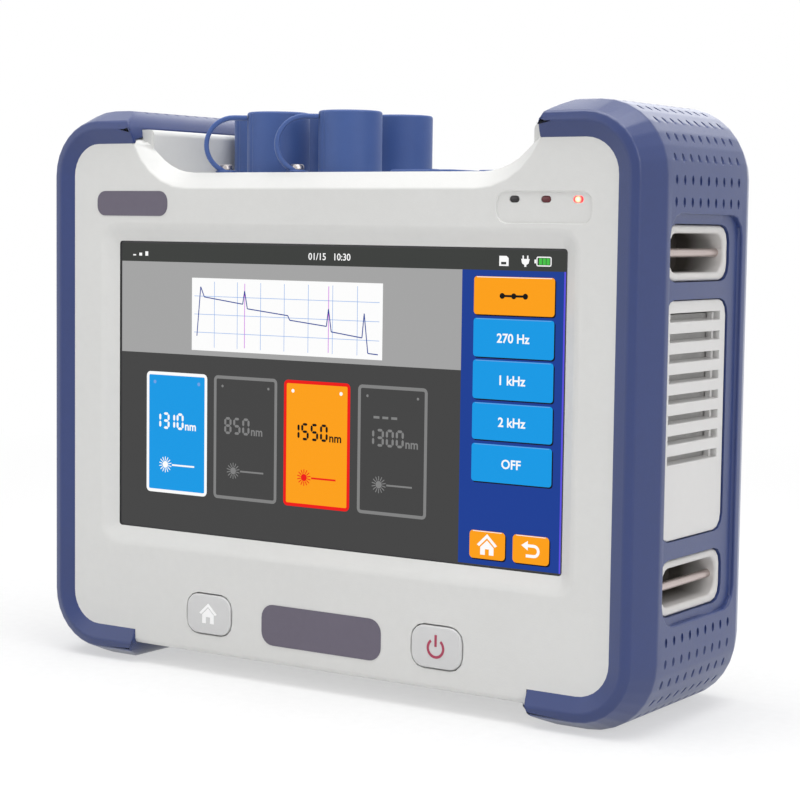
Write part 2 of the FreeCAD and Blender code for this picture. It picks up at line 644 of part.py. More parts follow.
def housing_body(form):
    """The form made hollow, with everything moulded into it."""
    cavity = slab_xz(-HALF_W + WALL, HALF_W - WALL, HOUSING_BOTTOM + WALL, HOUSING_TOP - WALL,
                     CORNER_RADIUS - WALL, -HALF_D + WALL, HALF_D - WALL)
    roof = PLATE_BOTTOM - LEDGE_THICKNESS
    cavity = cavity.cut(box(-POCKET_HALF_LENGTH - WALL, POCKET_HALF_LENGTH + WALL,
                            -HALF_D, HALF_D, roof, HOUSING_TOP))
    posts, front_cuts = front_details()
    mouldings, rear_cuts = rear_details()
    for x, z in case_screw_places():
        posts.append(stub(POST_RADIUS, V(x, INNER_FACE - WALL / 2, z), V(x, HALF_D - WALL / 2, z)))
    body = form.cut(cavity).multiFuse([s.common(form) for s in posts + mouldings])
    side = side_wall_cutters()
    screws = []
    for x, z in case_screw_places():
        screws.append(stub(CASE_SCREW_RADIUS, V(x, SPLIT_Y - CASE_SCREW_BITE, z), V(x, SPLIT_Y, z)))
        screws.append(stub(CASE_SCREW_RADIUS + CASE_SCREW_CLEARANCE,
                           V(x, SPLIT_Y, z), V(x, HALF_D, z)))
        screws.append(stub(CASE_SCREW_HEAD_RADIUS + CASE_SCREW_CLEARANCE, V(x, HALF_D - CASE_SCREW_SINK, z),
                           V(x, HALF_D + OVERSHOOT, z), sides=12))
    for cut in front_cuts + rear_cuts + screws + side + [mirrored(s) for s in side]:
        body = body.cut(cut)
    return body


def seal_strip():
    """Seal in the joint between the halves, round the sides and the bottom."""
    def band(inset):
        return slab_xz(-HALF_W + inset, HALF_W - inset, HOUSING_BOTTOM + inset, HOUSING_TOP - inset,
                       CORNER_RADIUS - inset, SPLIT_Y - SEAL_DEPTH, SPLIT_Y)
    strip = band(SEAL_INSET).cut(band(SEAL_INSET + SEAL_WIDTH))
    end = POCKET_HALF_LENGTH + WALL
    strip = strip.cut(box(-end, end, SPLIT_Y - HALF_D, SPLIT_Y + HALF_D, PLATE_BOTTOM, HOUSING_TOP))
    for z0, z1 in window_places():
        gap = box(-HALF_W, HALF_W, WINDOW_Y[0], WINDOW_Y[1], z0, z1)
        strip = strip.cut(gap)
    return strip


def housing_halves(form):
    body = housing_body(form)
    strip = seal_strip()
    reach = HALF_W + OVERSHOOT
    front_room = box(-reach, reach, -HALF_D - OVERSHOOT, SPLIT_Y, 0, HOUSING_TOP + OVERSHOOT)
    rear_room = box(-reach, reach, SPLIT_Y, HALF_D + OVERSHOOT, 0, HOUSING_TOP + OVERSHOOT)
    return body.common(front_room).cut(strip), body.common(rear_room), strip


# ---- bumpers -------------------------------------------------------------------------------------------------------
def bumper_sweep(section):
    """A section of points (outward, y) carried round the right side, from arm's end to arm's end."""
    r = CORNER_RADIUS
    right, top, bottom = HALF_W - r, HOUSING_TOP - r, HOUSING_BOTTOM + r
    quarter = math.pi / 2
    turns = [quarter * i / CASE_CHORDS for i in range(CASE_CHORDS + 1)]
    stops = [(TOP_ARM_END - OVERSHOOT, HOUSING_TOP, quarter)]
    stops += [(right + r * math.cos(t), top + r * math.sin(t), t) for t in reversed(turns)]
    stops += [(right + r * math.cos(t), bottom - r * math.sin(t), -t) for t in turns]
    stops.append((BOTTOM_ARM_END - OVERSHOOT, HOUSING_BOTTOM, -quarter))
    return skinned([[V(x + out * math.cos(t), y, z + out * math.sin(t)) for out, y in section]
                    for x, z, t in stops])


def bumper_mask():
    """Side view of the right bumper: the arms' rounded ends."""
    top = HOUSING_TOP + BUMPER_RIDGE
    bottom = HOUSING_BOTTOM - BUMPER_RIDGE
    outside = HALF_W + 2 * BUMPER_RIDGE
    a, b, r = TOP_ARM_END, BOTTOM_ARM_END, ARM_END_ROUND
    outline = [(a, top, r), (outside, top, 0), (outside, bottom, 0), (b, bottom, r),
               (b, SCREEN_Z, 0), (a, SCREEN_Z, 0)]
    return prism(outline, on_xz(-HALF_D - BUMPER_RIDGE), V(0, HOUSING_DEPTH + 2 * BUMPER_RIDGE, 0))


def bumper_section():
    """Outline of the rubber across the side: lip, flat, wide chamfer, side, and back again."""
    front = [(-BUMPER_LIP, -HALF_D + LIP_SEAT_DEPTH),
             (-BUMPER_LIP, -HALF_D),
             (0.0, -HALF_D - LIP_HEIGHT),
             (LIP_FLAT_WIDTH, -HALF_D - LIP_HEIGHT + LIP_FLAT_DROP),
             (BUMPER_RIDGE, -RIDGE_Y)]
    return front + [(out, -y) for out, y in reversed(front)]


def right_bumper(form):
    """Rubber guard: the swept section less the housing that it is stretched over."""
    rubber = bumper_sweep(bumper_section()).common(bumper_mask()).cut(form)
    rubber = max(rubber.Solids, key=lambda s: s.Volume)
    floor = HALF_W + BUMPER_RIDGE - PANEL_DEPTH
    rubber = rubber.cut(slab_yz(-PANEL_HALF_DEPTH, PANEL_HALF_DEPTH, PANEL_BOTTOM, PANEL_TOP,
                                PANEL_RADIUS, floor, floor + BUMPER_RIDGE))
    for z0, z1 in window_places():
        rubber = rubber.cut(slab_yz(WINDOW_Y[0] - WINDOW_GAP, WINDOW_Y[1] + WINDOW_GAP,
                                    z0 - WINDOW_GAP, z1 + WINDOW_GAP, WINDOW_RADIUS + WINDOW_GAP,
                                    HALF_W - OVERSHOOT, HALF_W + 2 * BUMPER_RIDGE))
    return rubber


# ---- side windows --------------------------------------------------------------------------------------------------
def strap_pocket(z):
    """Moulded tub with a rim, open outwards, that a hand strap is threaded through."""
    half = SLOT_HEIGHT / 2
    rim = slab_yz(WINDOW_Y[0], WINDOW_Y[1], z - half, z + half, WINDOW_RADIUS, HALF_W, FRAME_OUTER_X)
    tub = prism(tub_outline(z), on_yz(SLOT_FLOOR_X - SLOT_WALL),
                V(HALF_W - SLOT_FLOOR_X + SLOT_WALL, 0, 0), CUT_OFF)
    space = prism(tub_outline(z, -SLOT_WALL), on_yz(SLOT_FLOOR_X),
                  V(FRAME_OUTER_X - SLOT_FLOOR_X + OVERSHOOT, 0, 0))
    pocket = fused([rim, tub]).cut(space)
    return pocket.cut(strap_bar(z))


def strap_bar(z):
    end = SLOT_RIM / 2
    return stub(BAR_RADIUS, V(BAR_X, WINDOW_Y[0] + end, z), V(BAR_X, WINDOW_Y[1] - end, z), sides=12)


def side_grille():
    """Air grille: a plain panel below and slanted louvres above, with one upright rib."""
    inner = FRAME_OUTER_X - GRILLE_THICKNESS
    panel = slab_yz(WINDOW_Y[0], WINDOW_Y[1], GRILLE_BOTTOM, GRILLE_TOP, WINDOW_RADIUS,
                    inner, FRAME_OUTER_X)
    y0, y1 = WINDOW_Y[0] + LOUVRE_MARGIN, WINDOW_Y[1] - LOUVRE_MARGIN
    foot = slab_yz(WINDOW_Y[0], WINDOW_Y[1], GRILLE_BOTTOM, GRILLE_TOP, WINDOW_RADIUS, HALF_W, inner)
    foot = foot.cut(box(0, HALF_W * 2, y0, y1, LOUVRE_TOP - LOUVRE_COUNT * LOUVRE_PITCH, LOUVRE_TOP))
    panel = fused([panel, foot])
    for i in range(LOUVRE_COUNT):
        z = LOUVRE_TOP - i * LOUVRE_PITCH
        corners = [(FRAME_OUTER_X + OVERSHOOT, z - LOUVRE_GAP, 0), (FRAME_OUTER_X + OVERSHOOT, z, 0),
                   (inner - OVERSHOOT, z + LOUVRE_SLANT, 0),
                   (inner - OVERSHOOT, z - LOUVRE_GAP + LOUVRE_SLANT, 0)]
        panel = panel.cut(prism(corners, on_xz(y0), V(0, y1 - y0, 0)))
    rib_y = y1 - 2 * GRILLE_RIB
    rib = box(inner, inner + GRILLE_THICKNESS / 2, rib_y, rib_y + GRILLE_RIB,
              LOUVRE_TOP - LOUVRE_COUNT * LOUVRE_PITCH, LOUVRE_TOP)
    return fused([panel, rib])


# ---- display -----------------------------------------------------------------------------------------------------------
def screen_slab(width, height, y0, y1):
    return box(-width / 2, width / 2, y0, y1, SCREEN_Z - height / 2, SCREEN_Z + height / 2)


def screen_gasket():
    window = screen_slab(SCREEN_WIDTH + 2 * BEZEL_MARGIN, SCREEN_HEIGHT + 2 * BEZEL_MARGIN,
                         INNER_FACE, GLASS_FRONT)
    return screen_slab(GLASS_WIDTH, GLASS_HEIGHT, INNER_FACE, GLASS_FRONT).cut(window)


def touch_panel():
    return slab_xz(-GLASS_WIDTH / 2, GLASS_WIDTH / 2, SCREEN_Z - GLASS_HEIGHT / 2,
                   SCREEN_Z + GLASS_HEIGHT / 2, GLASS_CORNER, GLASS_FRONT, LCD_FRONT, CUT_OFF)


def lcd_module():
    return screen_slab(LCD_WIDTH, LCD_HEIGHT, LCD_FRONT, FRAME_FRONT)


def board_standoff_places():
    return [(sx * (MAIN_BOARD_HALF_WIDTH - BOARD_HOLE_INSET), z + sz * BOARD_HOLE_INSET)
            for sx in (-1, 1) for z, sz in ((MAIN_BOARD_Z[0], 1), (MAIN_BOARD_Z[1], -1))]


def display_frame():
    """Folded sheet that presses the display forward and carries the main board."""
    sheet = screen_slab(LCD_WIDTH, LCD_HEIGHT, FRAME_FRONT, FRAME_BACK)
    tabs = [slab_xz(-FRAME_TAB_X - BOSS_RADIUS, FRAME_TAB_X + BOSS_RADIUS, z - FRAME_TAB_HEIGHT / 2,
                    z + FRAME_TAB_HEIGHT / 2, BOSS_RADIUS, FRAME_FRONT, FRAME_BACK, CUT_OFF)
            for z in FRAME_TAB_Z]
    pillars = [stub(STANDOFF_RADIUS, V(x, FRAME_BACK, z), V(x, BOARD_FRONT, z))
               for x, z in board_standoff_places()]
    return fused([sheet] + tabs + pillars)


# ---- keys and lights -------------------------------------------------------------------------------------------------------
def key(x):
    w, h = KEY_WIDTH / 2, KEY_HEIGHT / 2
    flange_front = INNER_FACE + KEY_BACK_GAP
    head = slab_xz(x - w, x + w, KEY_Z - h, KEY_Z + h, KEY_RADIUS, -HALF_D - KEY_PROUD, flange_front)
    w, h = w + KEY_FLANGE, h + KEY_FLANGE
    flange = slab_xz(x - w, x + w, KEY_Z - h, KEY_Z + h, KEY_FLANGE, flange_front,
                     flange_front + KEY_FLANGE_THICKNESS, CUT_OFF)
    back = flange_front + KEY_FLANGE_THICKNESS
    stem = stub(KEY_STEM_RADIUS, V(x, back, KEY_Z), V(x, back + KEY_STEM_LENGTH, KEY_Z))
    return fused([head, flange, stem])


def switch_front():
    return INNER_FACE + KEY_BACK_GAP + KEY_FLANGE_THICKNESS + KEY_STEM_LENGTH + KEY_TRAVEL + SEAT_GAP


def key_switches():
    y = switch_front()
    half = SWITCH_SIZE / 2
    solids = []
    for x in (-KEY_X, KEY_X):
        case = box(x - half, x + half, y + PLUNGER_HEIGHT, y + SWITCH_HEIGHT, KEY_Z - half, KEY_Z + half)
        plunger = stub(PLUNGER_RADIUS, V(x, y, KEY_Z), V(x, y + PLUNGER_HEIGHT, KEY_Z))
        solids.append(fused([case, plunger]))
    return Part.makeCompound(solids)


def key_board():
    y = switch_front() + SWITCH_HEIGHT
    return box(-KEY_BOARD_LENGTH / 2, KEY_BOARD_LENGTH / 2, y, y + BOARD_THICKNESS,
               KEY_Z - KEY_BOARD_HEIGHT / 2, KEY_Z + KEY_BOARD_HEIGHT / 2)


def status_leds():
    front = -HALF_D + LIGHT_RECESS_DEPTH - LIGHT_PROUD
    return Part.makeCompound([light_pipe(x, front, INNER_FACE + OVERSHOOT) for x in light_places()])


# ---- connectors ------------------------------------------------------------------------------------------------------------
def adapter(x, y):
    """Threaded fibre adapter: a nut on the plate, a barrel above it and a body below."""
    base = V(x, y, PLATE_TOP)
    up = V(0, 0, 1)
    nut = stub(ADAPTER_NUT_RADIUS, base, base + up * ADAPTER_NUT_THICKNESS, sides=6)
    barrel = stub(ADAPTER_BARREL_RADIUS, base, base + up * ADAPTER_BARREL_HEIGHT, sides=16)
    body = stub(ADAPTER_BODY_RADIUS, base - up * ADAPTER_BODY_DEPTH, base)
    mouth = stub(ADAPTER_MOUTH_RADIUS, base, base + up * (ADAPTER_BARREL_HEIGHT + OVERSHOOT), sides=12)
    seat = stub(SLEEVE_RADIUS, base + up * (sleeve_top() - SLEEVE_LENGTH - PLATE_TOP), base)
    return fused([nut, barrel, body]).cut(mouth).cut(seat)


def sleeve_top():
    return PLATE_TOP + ADAPTER_BARREL_HEIGHT - SLEEVE_RECESS


def ferrule_sleeve(x, y):
    foot, head = V(x, y, sleeve_top() - SLEEVE_LENGTH), V(x, y, sleeve_top())
    return stub(SLEEVE_RADIUS, foot, head).cut(rod(FERRULE_RADIUS, foot, head))


def port_cap(x, y):
    foot = PLATE_TOP + SEAT_GAP
    top = PLATE_TOP + CAP_HEIGHT
    outside = stub(CAP_RADIUS, V(x, y, foot), V(x, y, top), sides=CAP_SIDES)
    return outside.cut(stub(CAP_BORE_RADIUS, V(x, y, foot), V(x, y, top - CAP_ROOF), sides=12))


def in_strap_plane(shape, x, y, heading):
    """Turn a shape drawn in the plane y = 0, outwards along +X, to its port and heading."""
    shape.rotate(V(0, 0, 0), V(0, 0, 1), heading)
    shape.translate(V(x, y, 0))
    return shape


def cap_strap(x, y, heading):
    """Rubber ribbon that leaves the cap's side, bends over and ends in an eye on the plate."""
    low = EYE_BOTTOM + STRAP_THICKNESS / 2
    bend = (STRAP_Z - low) / 2
    hub_x, hub_z = STRAP_REACH - bend, low + bend

    def bow(radius):
        """Points of the half turn from the upper run to the lower one."""
        turns = [math.pi * (0.5 - i / STRAP_BENDS) for i in range(STRAP_BENDS + 1)]
        return [(hub_x + radius * math.cos(t), hub_z + radius * math.sin(t), 0) for t in turns]
    outer, inner = bow(bend + STRAP_THICKNESS / 2), bow(bend - STRAP_THICKNESS / 2)
    root_x = CAP_RADIUS + SEAT_GAP
    tail_x = STRAP_EYE_X + STRAP_EYE_RADIUS / 2
    outline = [(root_x, outer[0][1], 0)] + outer + [(tail_x, outer[-1][1], 0), (tail_x, inner[-1][1], 0)]
    outline += inner[::-1] + [(root_x, inner[0][1], 0)]
    ribbon = prism(outline, on_xz(-STRAP_WIDTH / 2), V(0, STRAP_WIDTH, 0))
    ring = stub(STRAP_EYE_RADIUS, V(STRAP_EYE_X, 0, EYE_BOTTOM), V(STRAP_EYE_X, 0, EYE_TOP))
    hole = stub(SCREW_RADIUS + SCREW_CLEARANCE, V(STRAP_EYE_X, 0, 0), V(STRAP_EYE_X, 0, hub_z))
    room = stub(SCREW_HEAD_RADIUS + SCREW_CLEARANCE, V(STRAP_EYE_X, 0, EYE_TOP), V(STRAP_EYE_X, 0, hub_z))
    return in_strap_plane(fused([ribbon, ring]).cut(hole).cut(room), x, y, heading)


def strap_screw(x, y, heading):
    eye = STRAP_EYE_X
    seat = EYE_TOP + SEAT_GAP
    head = stub(SCREW_HEAD_RADIUS, V(eye, 0, seat), V(eye, 0, seat + SCREW_HEAD_HEIGHT))
    shank = stub(SCREW_RADIUS, V(eye, 0, seat - SCREW_LENGTH), V(eye, 0, seat))
    return in_strap_plane(fused([head, shank]), x, y, heading)


def socket_outline(x, y, size, grow=0.0):
    return (x - size[0] / 2 - grow, x + size[0] / 2 + grow, y - size[1] / 2 - grow, y + size[1] / 2 + grow)


def io_standoff_places():
    return [(x + sx * IO_HOLE_INSET, sy * (IO_BOARD_HALF_DEPTH - IO_HOLE_INSET))
            for x, sx in ((IO_BOARD_X[0], 1), (IO_BOARD_X[1], -1)) for sy in (-1, 1)]


def port_plate():
    """Plate that closes the pocket and carries every connector."""
    x, y = POCKET_HALF_LENGTH - PLATE_GAP, POCKET_HALF_DEPTH - PLATE_GAP
    plate = box(-x, x, -y, y, PLATE_BOTTOM, PLATE_TOP)
    pillars = [stub(STANDOFF_RADIUS, V(px, py, SOCKET_BOTTOM), V(px, py, PLATE_BOTTOM))
               for px, py in io_standoff_places()]
    plate = fused([plate] + pillars)
    cuts = []
    for px, py, heading in port_places():
        cuts.append(stub(ADAPTER_BODY_RADIUS + SEAT_GAP, V(px, py, PLATE_BOTTOM - OVERSHOOT),
                         V(px, py, PLATE_TOP + OVERSHOOT)))
        eye = STRAP_EYE_X
        hole = stub(SCREW_RADIUS, V(eye, 0, EYE_TOP + SEAT_GAP - SCREW_LENGTH),
                    V(eye, 0, PLATE_TOP + OVERSHOOT))
        cuts.append(in_strap_plane(hole, px, py, heading))
    sockets = [(DATA_X, JACK_Y, JACK_SIZE), (POWER_X, INLET_Y, (INLET_SIZE, INLET_SIZE)),
               (POWER_X, MICRO_Y, MICRO_SIZE)]
    sockets += [(DATA_X, usb_y, USB_SIZE) for usb_y in USB_Y]
    for px, py, size in sockets:
        x0, x1, y0, y1 = socket_outline(px, py, size, SOCKET_GAP)
        cuts.append(box(x0, x1, y0, y1, SOCKET_BOTTOM, PLATE_TOP + OVERSHOOT))
    for cut in cuts:
        plate = plate.cut(cut)
    return plate


def socket(x, y, size, mouth, depth):
    body = box(*socket_outline(x, y, size), SOCKET_BOTTOM, SOCKET_TOP)
    return body.cut(box(*socket_outline(x, y, mouth), SOCKET_TOP - depth, SOCKET_TOP + OVERSHOOT))


def usb_socket(y):
    shell = socket(DATA_X, y, USB_SIZE, USB_MOUTH, USB_DEPTH)
    tongue = box(*socket_outline(DATA_X, y + USB_TONGUE_OFFSET, USB_TONGUE),
                 SOCKET_TOP - USB_DEPTH, SOCKET_TOP - USB_TONGUE_DROP)
    return fused([shell, tongue])


def dc_inlet():
    body = box(*socket_outline(POWER_X, INLET_Y, (INLET_SIZE, INLET_SIZE)), SOCKET_BOTTOM, SOCKET_TOP)
    foot = V(POWER_X, INLET_Y, SOCKET_TOP - INLET_DEPTH)
    body = body.cut(stub(INLET_BORE, foot, foot + V(0, 0, INLET_DEPTH + OVERSHOOT), sides=12))
    return fused([body, stub(INLET_PIN, foot, foot + V(0, 0, INLET_DEPTH - INLET_PIN))])


def flap_door(x_range, front, hinge_y):
    """Rubber flap on the plate, with its rolled hinge edge at the rear."""
    z0 = PLATE_TOP + SEAT_GAP
    radius = DOOR_THICKNESS / 2
    flap = slab_xy(x_range[0], x_range[1], front, hinge_y + DOOR_RADIUS * 2, DOOR_RADIUS,
                   z0, z0 + DOOR_THICKNESS)
    flap = flap.cut(box(x_range[0], x_range[1], hinge_y, hinge_y + 3 * DOOR_RADIUS, z0, z0 + DOOR_THICKNESS))
    roll = rod(radius, V(x_range[0], hinge_y, z0 + radius), V(x_range[1], hinge_y, z0 + radius))
    return fused([flap, roll])


def io_board():
    return box(IO_BOARD_X[0], IO_BOARD_X[1], -IO_BOARD_HALF_DEPTH, IO_BOARD_HALF_DEPTH,
               SOCKET_BOTTOM - BOARD_THICKNESS, SOCKET_BOTTOM)


# ---- inside --------------------------------------------------------------------------------------------------------------------
def main_board():
    return box(-MAIN_BOARD_HALF_WIDTH, MAIN_BOARD_HALF_WIDTH, BOARD_FRONT, BOARD_BACK, *MAIN_BOARD_Z)


def processor_shield():
    x, z = SHIELD_CENTRE
    w, h = SHIELD_SIZE[0] / 2, SHIELD_SIZE[1] / 2
    return slab_xz(x - w, x + w, z - h, z + h, SHIELD_RADIUS, BOARD_BACK, BOARD_BACK + SHIELD_HEIGHT, CUT_OFF)


def module_centre():
    return sum(MODULE_X) / 2, sum(MODULE_Z) / 2


def optical_module():
    """Sealed laser and detector block on four feet."""
    block = slab_xz(*MODULE_X, *MODULE_Z, MODULE_RADIUS, MODULE_FRONT, MODULE_FRONT + MODULE_DEPTH, CUT_OFF)
    inset = MODULE_FOOT_INSET
    feet = [stub(STANDOFF_RADIUS, V(x, BOARD_BACK, z), V(x, MODULE_FRONT, z))
            for x in (MODULE_X[0] + inset, MODULE_X[1] - inset)
            for z in (MODULE_Z[0] + inset, MODULE_Z[1] - inset)]
    return fused([block] + feet)


def fibre_spool():
    """Launch fibre wound between two flanges."""
    x, z = module_centre()
    y = MODULE_FRONT + MODULE_DEPTH
    flanges = [stub(SPOOL_RADIUS, V(x, at, z), V(x, at + SPOOL_FLANGE, z), sides=16)
               for at in (y, y + SPOOL_DEPTH - SPOOL_FLANGE)]
    winding = stub(SPOOL_RADIUS - SPOOL_RIM, V(x, y, z), V(x, y + SPOOL_DEPTH, z), sides=16)
    bore = stub(SPOOL_HUB_RADIUS, V(x, y, z), V(x, y + SPOOL_DEPTH, z), sides=16)
    return fused([winding] + flanges).cut(bore)


def speaker():
    """Small loudspeaker on the inside of the left wall."""
    wall = -HALF_W + WALL
    centre = V(wall, SPLIT_Y + SPEAKER_RADIUS + SEAL_WIDTH, SPEAKER_Z)
    frame = stub(SPEAKER_RADIUS, centre, centre + V(SPEAKER_DEPTH / 2, 0, 0), sides=16)
    magnet = stub(SPEAKER_RADIUS / 2, centre, centre + V(SPEAKER_DEPTH, 0, 0), sides=16)
    return fused([frame, magnet])


# ---- rear ------------------------------------------------------------------------------------------------------------------------
def stand():
    """Fold-out leg: a ribbed plate that turns on a pin near its upper end."""
    back = STAND_FRONT + STAND_THICKNESS
    plate = slab_xz(-STAND_HALF_WIDTH, STAND_HALF_WIDTH, STAND_Z[0], STAND_AXIS_Z + STAND_RADIUS * 2,
                    STAND_RADIUS, STAND_FRONT, back)
    plate = plate.cut(box(-STAND_HALF_WIDTH, STAND_HALF_WIDTH, STAND_FRONT, back,
                          STAND_AXIS_Z, STAND_AXIS_Z + STAND_RADIUS * 3))
    roll = rod(STAND_THICKNESS / 2, V(-STAND_HALF_WIDTH, STAND_AXIS_Y, STAND_AXIS_Z),
               V(STAND_HALF_WIDTH, STAND_AXIS_Y, STAND_AXIS_Z))
    leg = fused([plate, roll])
    bays = 3
    low = STAND_Z[0] + FINGER_RADIUS + STAND_RIB
    high = STAND_AXIS_Z - STAND_THICKNESS
    step = (high - low) / bays
    for i in range(bays):
        leg = leg.cut(slab_xz(-STAND_HALF_WIDTH + STAND_RIB * 2, STAND_HALF_WIDTH - STAND_RIB * 2,
                              low + i * step, low + (i + 1) * step - STAND_RIB, STAND_RIB,
                              STAND_FRONT - OVERSHOOT, STAND_FRONT + STAND_THICKNESS - STAND_WEB,
                              CUT_OFF))
    bore = rod(STAND_PIN_RADIUS + STAND_PIN_FIT, *stand_pin_ends())
    return leg.cut(bore)


def stand_pin():
    return rod(STAND_PIN_RADIUS, *stand_pin_ends())


def door_screw_places():
    x = sum(BATTERY_DOOR_X) / 2
    return [(x, BATTERY_DOOR_Z[0] + DOOR_SCREW_INSET - BAY_LEDGE / 2),
            (x, BATTERY_DOOR_Z[1] - DOOR_SCREW_INSET + BAY_LEDGE / 2)]


def battery_door():
    front = HALF_D - BATTERY_DOOR_THICKNESS
    door = slab_xz(*BATTERY_DOOR_X, *BATTERY_DOOR_Z, BATTERY_DOOR_RADIUS, front, HALF_D)
    x = sum(BATTERY_DOOR_X) / 2
    top = BATTERY_DOOR_Z[1] - 4 * DOOR_SCREW_INSET
    for i in range(DOOR_GRIP_COUNT):
        z = top - i * DOOR_GRIP_PITCH
        door = door.cut(box(x - DOOR_GRIP_LENGTH / 2, x + DOOR_GRIP_LENGTH / 2, HALF_D - DOOR_GRIP_DEPTH,
                            HALF_D + OVERSHOOT, z, z + DOOR_GRIP_PITCH / 2))
    for sx, sz in door_screw_places():
        door = door.cut(stub(SCREW_HEAD_RADIUS + SCREW_CLEARANCE, V(sx, HALF_D - DOOR_SCREW_HEAD, sz),
                             V(sx, HALF_D + OVERSHOOT, sz), sides=12))
        door = door.cut(stub(SCREW_RADIUS, V(sx, front, sz), V(sx, HALF_D, sz)))
    return door


def battery_door_screws():
    front = HALF_D - BATTERY_DOOR_THICKNESS
    return Part.makeCompound([
        fused([stub(SCREW_HEAD_RADIUS, V(x, HALF_D - DOOR_SCREW_HEAD, z), V(x, HALF_D, z)),
               stub(SCREW_RADIUS, V(x, front, z), V(x, HALF_D - DOOR_SCREW_HEAD, z))])
        for x, z in door_screw_places()])


def battery_pack():
    block = battery_space(0)
    box_ = block.BoundBox
    front = HALF_D - BATTERY_DOOR_THICKNESS - BATTERY_DEPTH
    return slab_xz(box_.XMin, box_.XMax, box_.ZMin, box_.ZMax, BATTERY_CORNER, front - BATTERY_GAP,
                   HALF_D - BATTERY_DOOR_THICKNESS, CUT_OFF)


def battery_contacts():
    """Spring contact block on the main board side of the bay."""
    x = sum(BATTERY_DOOR_X) / 2
    y = HALF_D - BATTERY_DOOR_THICKNESS - BATTERY_DEPTH - BATTERY_GAP - BAY_WALL
    z = BATTERY_DOOR_Z[0] + 3 * BAY_LEDGE
    w, d, h = CONTACT_SIZE
    return box(x - w / 2, x + w / 2, y - d, y, z, z + h)


def housing_screws():
    seat = HALF_D - CASE_SCREW_SINK
    screws = []
    for x, z in case_screw_places():
        head = stub(CASE_SCREW_HEAD_RADIUS, V(x, seat, z), V(x, seat + CASE_SCREW_HEAD, z))
        shank = stub(CASE_SCREW_RADIUS, V(x, SPLIT_Y - CASE_SCREW_BITE + CASE_SCREW_TIP, z), V(x, seat, z))
        screws.append(fused([head, shank]))
    return Part.makeCompound(screws)


# ---- the whole instrument -----------------------------------------------------------------------------------------------------------
def build():
    form = housing_form()
    front, rear, seal = housing_halves(form)
    bumper = right_bumper(form)
    grille = side_grille()
    pockets = Part.makeCompound([strap_pocket(z) for z in (LOWER_SLOT_Z, UPPER_SLOT_Z)])
    bars = [strap_bar(z) for z in (LOWER_SLOT_Z, UPPER_SLOT_Z)]
    nodes = {
        "front_housing": front,
        "rear_housing": rear,
        "housing_seal": seal,
        "right_bumper": bumper,
        "left_bumper": mirrored(bumper),
        "right_grille": grille,
        "left_grille": mirrored(grille),
        "right_strap_pockets": pockets,
        "left_strap_pockets": mirrored(pockets),
        "strap_bars": Part.makeCompound(bars + [mirrored(b) for b in bars]),
        "screen_gasket": screen_gasket(),
        "touch_panel": touch_panel(),
        "lcd_module": lcd_module(),
        "display_frame": display_frame(),
        "home_key": key(-KEY_X),
        "power_key": key(KEY_X),
        "key_switches": key_switches(),
        "key_board": key_board(),
        "status_lights": status_leds(),
        "main_board": main_board(),
        "processor_shield": processor_shield(),
        "optical_module": optical_module(),
        "fibre_spool": fibre_spool(),
        "speaker": speaker(),
        "port_plate": port_plate(),
        "io_board": io_board(),
        "network_jack": socket(DATA_X, JACK_Y, JACK_SIZE, JACK_MOUTH, JACK_DEPTH),
        "usb_sockets": Part.makeCompound([usb_socket(y) for y in USB_Y]),
        "micro_socket": socket(POWER_X, MICRO_Y, MICRO_SIZE, MICRO_MOUTH, MICRO_DEPTH),
        "dc_inlet": dc_inlet(),
        "data_door": flap_door(DATA_DOOR_X, DATA_DOOR_FRONT, DATA_HINGE_Y),
        "power_door": flap_door(POWER_DOOR_X, POWER_DOOR_FRONT, POWER_HINGE_Y),
        "stand": stand(),
        "stand_pin": stand_pin(),
        "battery_door": battery_door(),
        "battery_door_screws": battery_door_screws(),
        "battery_pack": battery_pack(),
        "battery_contacts": battery_contacts(),
        "housing_screws": housing_screws(),
    }
    ports = list(port_places())
    for number, (x, y, heading) in enumerate(ports, 1):
        nodes[f"fibre_adapter_{number}"] = adapter(x, y)
        nodes[f"port_cap_{number}"] = port_cap(x, y)
        nodes[f"cap_strap_{number}"] = cap_strap(x, y, heading)
    nodes["ferrule_sleeves"] = Part.makeCompound([ferrule_sleeve(x, y) for x, y, _ in ports])
    nodes["strap_screws"] = Part.makeCompound([strap_screw(*port) for port in ports])
    return nodes


os.makedirs("parts", exist_ok=True)
for name, shape in build().items():
    shape.exportStep(f"parts/{name}.step")
    print(f"{name:22s} solids {len(shape.Solids)}  volume {shape.Volume:10.1f}  valid {shape.isValid()}")
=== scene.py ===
# %% [markdown]
# # A hand-held optical time domain reflectometer
#
# This instrument sends light pulses down an optical fibre and listens for the echoes. It is
# a flat white box with a touch screen, two blue rubber bumpers that it also stands on, and a
# row of capped fibre connectors in a saddle on its top. Every rigid part comes ready made
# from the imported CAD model. The cells below dress those parts in materials, and build the
# pieces that are too fine for the CAD model: the picture on the screen, the icons, the lamps,
# the soft straps, the dimples in the rubber and the screws.

import json
import math
import random

import bmesh
import bpy
from mathutils import Matrix, Vector


